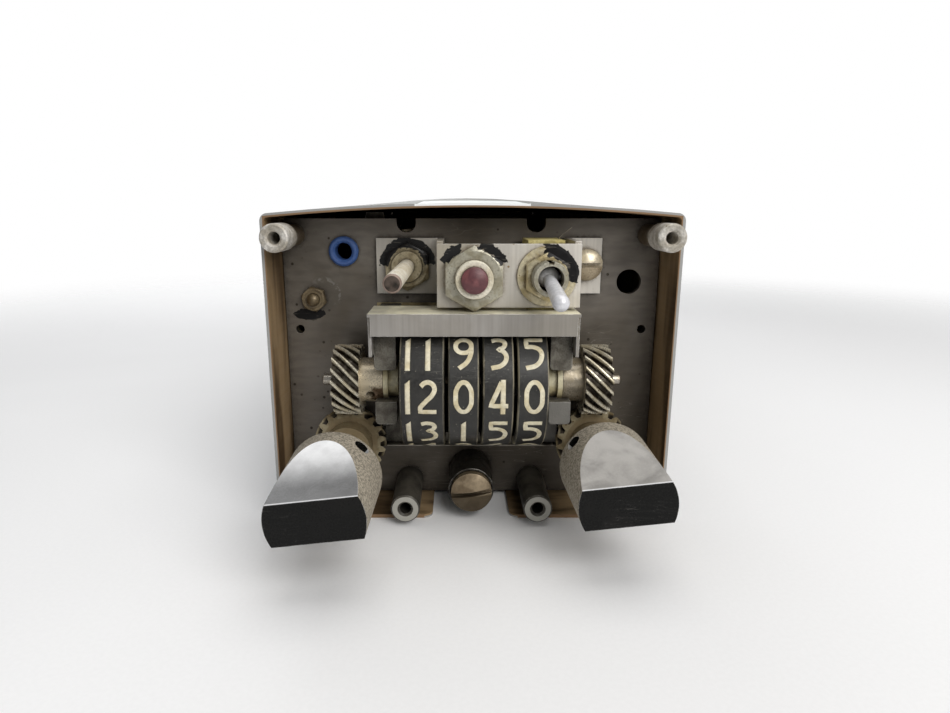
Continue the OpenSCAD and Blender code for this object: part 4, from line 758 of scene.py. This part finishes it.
makeFinish("blackMoulding", {
    "base": seen(40, 40, 40), "patch": seen(30, 30, 29), "rough": (0.4, 0.6), "patchScale": 200,
    "edge": (seen(86, 84, 80), 0.6), "grimeAndShade": (seen(74, 66, 54), 1.5, 0.5)}, ["rear_connector"])

ceramicLook = {
    "base": seen(208, 204, 190), "patch": seen(188, 182, 164), "rough": (0.3, 0.5), "bump": 0.15,
    "bush": seen(104, 90, 66), "bushShort": 0.4}


def brassBush(tree, coords, colour, rough):
    # the ceramic block's bushing through the plate is stained brass
    bushEnd = (high("front_plate").y - ceramicLook["bushShort"]) * mm
    front = under(tree, split(tree, coords)[1], bushEnd)
    return blendColour(tree, front, colour, ceramicLook["bush"]), rough


makeFinish("paleCeramic", ceramicLook, ["trimmer_body"], brassBush)
print("metal and plastic finishes ready:", len(finishes))


# knobs

knobLook = {
    "base": seen(16, 16, 15), "patch": seen(22, 21, 20), "rough": (0.2, 0.34), "patchScale": 150,
    "patchRange": (0.48, 0.75), "fineScale": 2600, "bump": 0.05, "coneRadius": (8.42, 8.8),
    "coneSlack": 0.15, "scratch": (seen(84, 82, 80), 0.003), "scratchScale": 110,
    "edge": (seen(196, 194, 192), 0.95), "edgeRadius": 0.2, "shine": 0.14,
    "skirtDust": seen(176, 167, 151), "skirtDull": 0.35, "sheenReach": (3, 13, 16.5),
    # the front line is a painted highlight; the flat's colour is a painted reflection on the left knob and
    # dust on the right knob
    "frontGlint": {"deep": (0.15, 0.4), "share": 0.85, "colour": seen(236, 237, 240)},
    "flatSheenAndDust": {"left": seen(250, 251, 253), "right": seen(186, 183, 179)}}


def skirtShare(tree, place, normal, side):
    # the skirt's faces look away from the shaft and lie on the knob's cone
    across, rise = fromAxis(tree, place, middle(side + "_shaft"))
    away = distance(tree, across, rise)
    sideways = plus(tree, product(tree, normal[0], across), product(tree, normal[2], rise))
    outward = calc(tree, "DIVIDE", sideways, away)
    front, back = low(side + "_knob").y * mm, high(side + "_knob").y * mm
    radius = spread(tree, place[1], front, back, *(radius * mm for radius in knobLook["coneRadius"]))
    onCone = over(tree, away, minus(tree, radius, knobLook["coneSlack"] * mm))
    return product(tree, over(tree, outward, 0.96), onCone)


def flatFilm(tree, coords, fromFront, side):
    # the left knob's flat carries a painted reflection, brightest near its back; the right knob's flat has
    # an even dust film
    if side == "right":
        return spread(tree, cloud(tree, coords, 160, 5, 0.8), 0.3, 0.7, 0.55, 0.9)
    start, peak, end = (reach * mm for reach in knobLook["sheenReach"])
    rising = spread(tree, fromFront, start, peak, 0.22, 1.0)
    falling = spread(tree, fromFront, peak, end, 1.0, 0.72)
    mottle = spread(tree, cloud(tree, coords, 420, 5), 0.3, 0.7, 0.84, 1.0)
    return product(tree, rising, mottle, falling)


def dustyKnob(side):
    def paint(tree, coords, colour, rough):
        # grey dust holds on the matt round skirt; the upper flat has a painted reflection on the left knob,
        # dust on the right knob, and a painted highlight along its front edge
        place = split(tree, coords)
        normal = faceDirection(tree)
        fromFront = minus(tree, place[1], low(side + "_knob").y * mm)
        skirt = skirtShare(tree, place, normal, side)
        grains = spread(tree, cloud(tree, coords, 2600, 3), 0.36, 0.62, 0.4, 0.95)
        colour = blendColour(tree, product(tree, skirt, grains), colour, knobLook["skirtDust"])
        flat = product(tree, over(tree, normal[2], 0.5), minus(tree, 1.0, skirt))
        sheenAndDust = product(tree, flat, flatFilm(tree, coords, fromFront, side))
        colour = blendColour(tree, sheenAndDust, colour, knobLook["flatSheenAndDust"][side])
        glint = knobLook["frontGlint"]
        near, far = (deep * mm for deep in glint["deep"])
        bright = product(tree, flat, spread(tree, fromFront, near, far, glint["share"], 0.0))
        colour = blendColour(tree, bright, colour, glint["colour"])
        return colour, duller(tree, rough, skirt, knobLook["skirtDull"])

    return paint


for side in ("left", "right"):
    makeFinish(side + "KnobBlack", knobLook, [side + "_knob"], dustyKnob(side))
print("knobs dressed")


# number drums

drumLook = {
    "base": seen(42, 41, 38), "patch": seen(30, 29, 27), "rough": (0.3, 0.5), "patchScale": 160,
    "fineScale": 1800, "grainDepth": 0.18, "bump": 0.15, "specks": (seen(150, 144, 128), 1300, 0.13),
    "scratch": (seen(120, 118, 112), 0.004), "scratchScale": 160, "edge": (seen(206, 199, 176), 0.9),
    "edgeRadius": 0.16, "grimeAndShade": (seen(18, 16, 13), 1.5, 0.6), "flank": (seen(176, 167, 142), 0.6)}


def paleFlank(tree, coords, colour, rough):
    # the paint on the drums' side faces is worn through in places
    flankColour, share = drumLook["flank"]
    sideFace = over(tree, calc(tree, "ABSOLUTE", faceDirection(tree)[0]), 0.7)
    bare = spread(tree, cloud(tree, coords, 130, 3, 0.6), 0.44, 0.62, 0.12, share)
    return blendColour(tree, product(tree, sideFace, bare), colour, flankColour), rough


makeFinish("drumBlack", drumLook, ["tens_drum", "units_drum", "tenths_drum", "hundredths_drum"], paleFlank)

figureLook = {
    "stroke": 1.05, "raise": 0.03, "thin": 0.08, "slant": 0.9, "slantFrom": 3, "step": 0.7,
    "drumTurn": 36,
    "paint": {
        "base": seen(222, 214, 188), "patch": seen(204, 192, 158), "rough": (0.4, 0.6),
        "patchScale": 500, "bump": 0.15, "specks": (seen(120, 104, 70), 1500, 0.15),
        "grimeAndShade": (seen(120, 100, 64), 0.8, 0.4)}}
makeFinish("figurePaint", figureLook["paint"])

# strokes of each figure in millimetres about its middle: points, which of them are corners, closed or open
figureStrokes = {
    "0": [([(0, 2.95), (1.2, 1.9), (1.5, 0), (1.2, -1.9), (0, -2.95), (-1.2, -1.9), (-1.5, 0),
            (-1.2, 1.9)], [], True)],
    "1": [([(0, 3.45), (0, -3.45)], [0, 1], False)],
    "2": [([(-1.3, 2.15), (-0.5, 2.85), (0.5, 2.85), (1.3, 1.9), (1.0, 0.7), (-0.2, -0.6),
            (-1.4, -1.9), (-1.5, -2.95), (1.65, -2.95)], [6, 7, 8], False)],
    "3": [([(-1.35, 2.7), (-0.3, 2.95), (1.1, 2.4), (1.0, 1.4), (-0.1, 0.8), (1.0, 0.2),
            (1.4, -1.0), (0.6, -2.3), (-1.5, -2.95)], [4], False)],
    "4": [([(0.45, 3.0), (-1.65, -1.7), (1.75, -1.7)], [0, 1, 2], False),
          ([(0.75, 3.45), (0.75, -3.45)], [0, 1], False)],
    "5": [([(1.75, 2.95), (-1.45, 2.95), (-1.4, 1.35), (0.1, 1.3), (1.25, 0.5), (1.4, -0.8),
            (0.5, -2.3), (-1.6, -2.95)], [0, 1, 2], False)],
    "6": [([(0, -2.95), (-1.1, -2.5), (-1.5, -1.5), (-1.1, -0.5), (0, -0.1), (1.1, -0.5),
            (1.5, -1.5), (1.1, -2.5)], [], True),
          ([(-1.5, -1.5), (-1.4, 0), (-0.7, 1.7), (0.9, 3.0)], [], False)],
    "7": [([(-1.7, 2.95), (1.6, 2.95), (-0.5, -3.4)], [0, 1, 2], False)],
    "8": [([(0, 2.95), (1.1, 2.3), (1.0, 1.0), (0, 0.4), (-1.0, 1.0), (-1.1, 2.3)], [], True),
          ([(0, 0.4), (1.3, -0.4), (1.5, -1.7), (0, -2.95), (-1.5, -1.7), (-1.3, -0.4)], [], True)],
    "9": [([(0, 2.95), (1.1, 2.5), (1.5, 1.5), (1.1, 0.5), (0, 0.1), (-1.1, 0.5),
            (-1.5, 1.5), (-1.1, 2.5)], [], True),
          ([(1.5, 1.5), (1.4, 0), (0.7, -1.7), (-0.9, -3.0)], [], False)],
}


def finerStroke(points, corners):
    # extra points along the straight stretches, so that they bend round the drum
    result = []
    for index, point in enumerate(points):
        result.append((point, index in corners))
        if index in corners and index + 1 in corners:
            gap = Vector(points[index + 1]) - Vector(point)
            parts = math.ceil(gap.length / figureLook["step"])
            for part in range(1, parts):
                result.append(((point[0] + gap.x * part / parts, point[1] + gap.y * part / parts), True))
    return result


def tubeCurve(name, radius, roundness):
    curve = bpy.data.curves.new(name, "CURVE")
    curve.dimensions = "3D"
    curve.bevel_depth = radius
    curve.bevel_resolution = roundness
    curve.use_fill_caps = True
    return curve


def addSpline(curve, points, corners, closed=False):
    spline = curve.splines.new("BEZIER")
    spline.bezier_points.add(len(points) - 1)
    spline.use_cyclic_u = closed
    for point, place, corner in zip(spline.bezier_points, points, corners):
        kind = "VECTOR" if corner else "AUTO"
        point.co = place
        point.handle_left_type = kind
        point.handle_right_type = kind


def meshOfCurve(curve):
    holder = bpy.data.objects.new(curve.name + "Curve", curve)
    bpy.context.collection.objects.link(holder)
    bpy.context.view_layer.update()
    mesh = bpy.data.meshes.new_from_object(holder.evaluated_get(bpy.context.evaluated_depsgraph_get()))
    bpy.data.objects.remove(holder)
    bpy.data.curves.remove(curve)
    return mesh


def figureMesh(character):
    # the strokes of one figure in the XZ plane
    curve = tubeCurve("figure" + character, figureLook["stroke"] / 2, 1)
    curve.resolution_u = 6
    for points, corners, closed in figureStrokes[character]:
        finer = finerStroke(points, corners)
        places = [(x, 0, z) for (x, z), corner in finer]
        addSpline(curve, places, [corner for point, corner in finer], closed)
    return meshOfCurve(curve)


figureMeshes = {character: figureMesh(character) for character in figureStrokes}


def addPiece(name, mesh, finishName, body, smoothAngle=35):
    piece = bpy.data.objects.new(name, mesh)
    bpy.context.collection.objects.link(piece)
    mesh.materials.clear()
    mesh.materials.append(finishes[finishName])
    mesh.polygons.foreach_set("use_smooth", [True] * len(mesh.polygons))
    mesh.set_sharp_from_angle(angle=math.radians(smoothAngle))
    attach(piece, body)
    return piece


def meshFrom(bm, name):
    bmesh.ops.remove_doubles(bm, verts=bm.verts, dist=0.000002)
    bmesh.ops.recalc_face_normals(bm, faces=bm.faces)
    mesh = bpy.data.meshes.new(name)
    bm.to_mesh(mesh)
    bm.free()
    return mesh


def addBox(bm, size, place):
    verts = bmesh.ops.create_cube(bm, size=1)["verts"]
    bmesh.ops.scale(bm, vec=Vector(size) * mm, verts=verts)
    bmesh.ops.translate(bm, vec=Vector(place) * mm, verts=verts)


def drumFigures(name, node, body, labels, offsets):
    # wraps each figure round the drum; labels go up by one as the drum's front turns up
    drumLow, drumHigh = low(node), high(node)
    centre = (drumLow + drumHigh) / 2
    radius = (drumHigh.z - drumLow.z) / 2 + figureLook["raise"]
    bm = bmesh.new()
    for step, label in enumerate(labels):
        for character, offset in zip(label, offsets):
            start = len(bm.verts)
            bm.from_mesh(figureMeshes[character])
            bm.verts.ensure_lookup_table()
            turn = math.radians(-figureLook["drumTurn"] * step)
            for vert in bm.verts[start:]:
                x, y, z = vert.co
                if character == "1" and z > figureLook["slantFrom"]:
                    z -= figureLook["slant"] * (0.5 - x / figureLook["stroke"])
                angle = z / radius + turn
                reach = radius - y * figureLook["thin"]
                vert.co = Vector((centre.x + offset + x, centre.y - reach * math.cos(angle),
                                  centre.z + reach * math.sin(angle))) * mm
    return addPiece(name, meshFrom(bm, name), "figurePaint", body)


# what each drum reads from its front upwards, and how far each character stands from the drum's middle
drumLabels = {
    "tens": ([str(10 + (2 + step) % 10) for step in range(10)], (-2.7, 1.15)),
    "units": ([str(step) for step in range(10)], (0,)),
    "tenths": ([str((4 + step) % 10) for step in range(10)], (0.1,)),
    "hundredths": (["0", "5"] * 5, (0.15,)),
}
for drum, (labels, offsets) in drumLabels.items():
    drumFigures(drum + "Figures", drum + "_drum", drum, labels, offsets)
print("number drums done")


# small pieces on the chassis

threadLook = {
    "pitch": 0.8, "rise": 0.12, "bite": 0.05, "foot": 0.1, "turnSteps": 48, "bushingRadius": 3.175,
    "buttonRadius": 3.5, "lockRadius": 1.75, "lockReach": (5.2, 0.2), "keywayDegrees": 24}


def threadRidges(name, centre, front, back, core, finishName, body, notch=0):
    # ring-shaped ridges round a bushing or a screw's end, open where a keyway passes
    bm = bmesh.new()
    count = max(1, round((back - front) / threadLook["pitch"]))
    step = (back - front) / count
    first = math.radians(90 + notch / 2)
    root = core - threadLook["bite"]
    corners = ((root, threadLook["foot"]), (core + threadLook["rise"], 0.5), (root, 1 - threadLook["foot"]))
    for index in range(count):
        verts = []
        for radius, share in corners:
            depth = front + (index + share) * step
            verts.append(bm.verts.new((radius * math.cos(first), depth, radius * math.sin(first))))
        edges = [bm.edges.new((verts[k], verts[(k + 1) % 3])) for k in range(3)]
        bmesh.ops.spin(bm, geom=verts + edges, cent=(0, 0, 0), axis=(0, -1, 0), dvec=(0, 0, 0),
                       angle=math.radians(360 - notch), steps=threadLook["turnSteps"],
                       use_merge=notch == 0, use_duplicate=False)
    if notch:
        bmesh.ops.holes_fill(bm, edges=[edge for edge in bm.edges if edge.is_boundary], sides=3)
    bmesh.ops.scale(bm, vec=(mm, mm, mm), verts=bm.verts)
    bmesh.ops.translate(bm, vec=Vector((centre.x, 0, centre.z)) * mm, verts=bm.verts)
    return addPiece(name, meshFrom(bm, name), finishName, body, 60)


threadRidges("volumeThread", middle("volume_nut"), low("volume_body").y, low("volume_nut").y,
             threadLook["bushingRadius"], "brownedNickel", "chassis")
threadRidges("buttonThread", middle("button_nut"), low("button_body").y, low("button_nut").y,
             threadLook["buttonRadius"], "paleBushing", "chassis")
threadRidges("toggleThread", middle("toggle_nut"), low("toggle_bushing").y, low("toggle_nut").y,
             threadLook["bushingRadius"], "oldNickel", "chassis", threadLook["keywayDegrees"])
lockFront, lockBack = (high("lock_screw").y - reach for reach in threadLook["lockReach"])
threadRidges("lockThread", middle("lock_screw_sleeve"), lockFront, lockBack,
             threadLook["lockRadius"], "dullGold", "lock")

# the rear panel's upper edge follows the cover's crown
crownLook = {
    "half": 40.1, "rise": 1.9, "reach": 39.65, "roof": 63.5, "overlap": 0.5, "thick": 1.6, "steps": 32}
bm = bmesh.new()
bmesh.ops.create_grid(bm, x_segments=crownLook["steps"], y_segments=1, size=1)
for vert in bm.verts:
    x = vert.co.x * crownLook["half"]
    top = crownLook["roof"] + crownLook["rise"] * (1 - (x / crownLook["reach"]) ** 2)
    z = top if vert.co.y > 0 else high("rear_panel").z - crownLook["overlap"]
    vert.co = Vector((x, low("rear_panel").y, z)) * mm
wall = bmesh.ops.extrude_face_region(bm, geom=bm.faces[:])
moved = [part for part in wall["geom"] if isinstance(part, bmesh.types.BMVert)]
bmesh.ops.translate(bm, vec=(0, crownLook["thick"] * mm, 0), verts=moved)
addPiece("rearCrown", meshFrom(bm, "rearCrown"), "trayMetal", "chassis")

# small tab standing behind the plate's upper edge
tabLook = {
    "middle": -20.7, "bottom": 2.55, "top": 1.85, "low": 60.5, "high": 64.1, "thick": 0.8,
    "behind": 1.2}
bm = bmesh.new()
bmesh.ops.create_cube(bm, size=2)
for vert in bm.verts:
    half = tabLook["top"] if vert.co.z > 0 else tabLook["bottom"]
    level = tabLook["high"] if vert.co.z > 0 else tabLook["low"]
    depth = high("front_plate").y + tabLook["behind"] + tabLook["thick"] * (vert.co.y + 1) / 2
    vert.co = Vector((tabLook["middle"] + vert.co.x * half, depth, level)) * mm
addPiece("upperTab", meshFrom(bm, "upperTab"), "castMetal", "chassis", 20)

# one loose strand of wire at the toggle's body
strandLook = {
    "foot": (-0.6, 0, -0.1), "bends": ((0, 0, 0), (1.2, -0.4, 1.3), (2.6, -0.8, 2.4)), "radius": 0.07}
toggleHigh = high("toggle_body")
strandBase = Vector((toggleHigh.x, middle("toggle_body").y, toggleHigh.z)) + Vector(strandLook["foot"])
strand = tubeCurve("looseStrand", strandLook["radius"] * mm, 2)
addSpline(strand, [(strandBase + Vector(bend)) * mm for bend in strandLook["bends"]], [False] * 3)
addPiece("looseStrand", meshOfCurve(strand), "platedSteel", "chassis")

# the window's upper edge, caked with old grease, comes down behind the mask
edgeLook = {"half": 20.6, "from": 43.9, "to": 45.1, "thick": 1.2, "inset": 0.1}
bm = bmesh.new()
edgeSize = (2 * edgeLook["half"], edgeLook["thick"], edgeLook["to"] - edgeLook["from"])
edgePlace = (middle("window_mask").x, plateFront + edgeLook["inset"] + edgeLook["thick"] / 2,
             (edgeLook["from"] + edgeLook["to"]) / 2)
addBox(bm, edgeSize, edgePlace)
makeFinish("driedGrease", {
    "base": seen(156, 142, 106), "patch": seen(120, 106, 74), "rough": (0.5, 0.7), "bump": 0.5})
addPiece("windowEdge", meshFrom(bm, "windowEdge"), "driedGrease", "chassis")

# contact strips on both faces of the rear connector's tongue
contactLook = {
    "count": 12, "inset": 11.5, "wide": 1.3, "long": 5.2, "thick": 0.12, "tongue": 2.4, "setBack": 0.2}
plugLow, plugHigh = low("rear_connector"), high("rear_connector")
bm = bmesh.new()
pitch = (plugHigh.x - plugLow.x - 2 * contactLook["inset"]) / (contactLook["count"] - 1)
stripSize = (contactLook["wide"], contactLook["long"], contactLook["thick"])
stripMiddle = plugHigh.y - contactLook["setBack"] - contactLook["long"] / 2
for index in range(contactLook["count"]):
    for side in (-1, 1):
        place = (plugLow.x + contactLook["inset"] + index * pitch, stripMiddle,
                 middle("rear_connector").z + side * contactLook["tongue"] / 2)
        addBox(bm, stripSize, place)
addPiece("connectorContacts", meshFrom(bm, "connectorContacts"), "goldPlating", "chassis")
print("small pieces done")


# floor

floorLook = {"colour": seen(248, 248, 249), "patch": seen(245, 245, 246), "size": 1.0, "fade": (0.16, 0.5)}
bm = bmesh.new()
bmesh.ops.create_grid(bm, x_segments=1, y_segments=1, size=floorLook["size"])
floorMesh = meshFrom(bm, "floor")
floor = bpy.data.objects.new("floor", floorMesh)
bpy.context.collection.objects.link(floor)
makeFinish("floorPaper", {
    "base": floorLook["colour"], "patch": floorLook["patch"], "rough": (0.85, 0.95), "patchScale": 3,
    "bump": 0.02, "grainDepth": 0.01})
# the paper fades into the white surround, so no edge or horizon shows
paper = finishes["floorPaper"].node_tree
reach = split(paper, add(paper, "TexCoord").outputs["Object"])
away = spread(paper, distance(paper, reach[0], reach[1]), *floorLook["fade"])
clear = add(paper, "BsdfTransparent").outputs[0]
solid = paper.nodes["Principled BSDF"].outputs[0]
mixed = add(paper, "MixShader", Fac=away)
paper.links.new(solid, mixed.inputs[1])
paper.links.new(clear, mixed.inputs[2])
paper.links.new(mixed.outputs[0], paper.nodes["Material Output"].inputs["Surface"])
floorMesh.materials.append(finishes["floorPaper"])

print("scene ready")
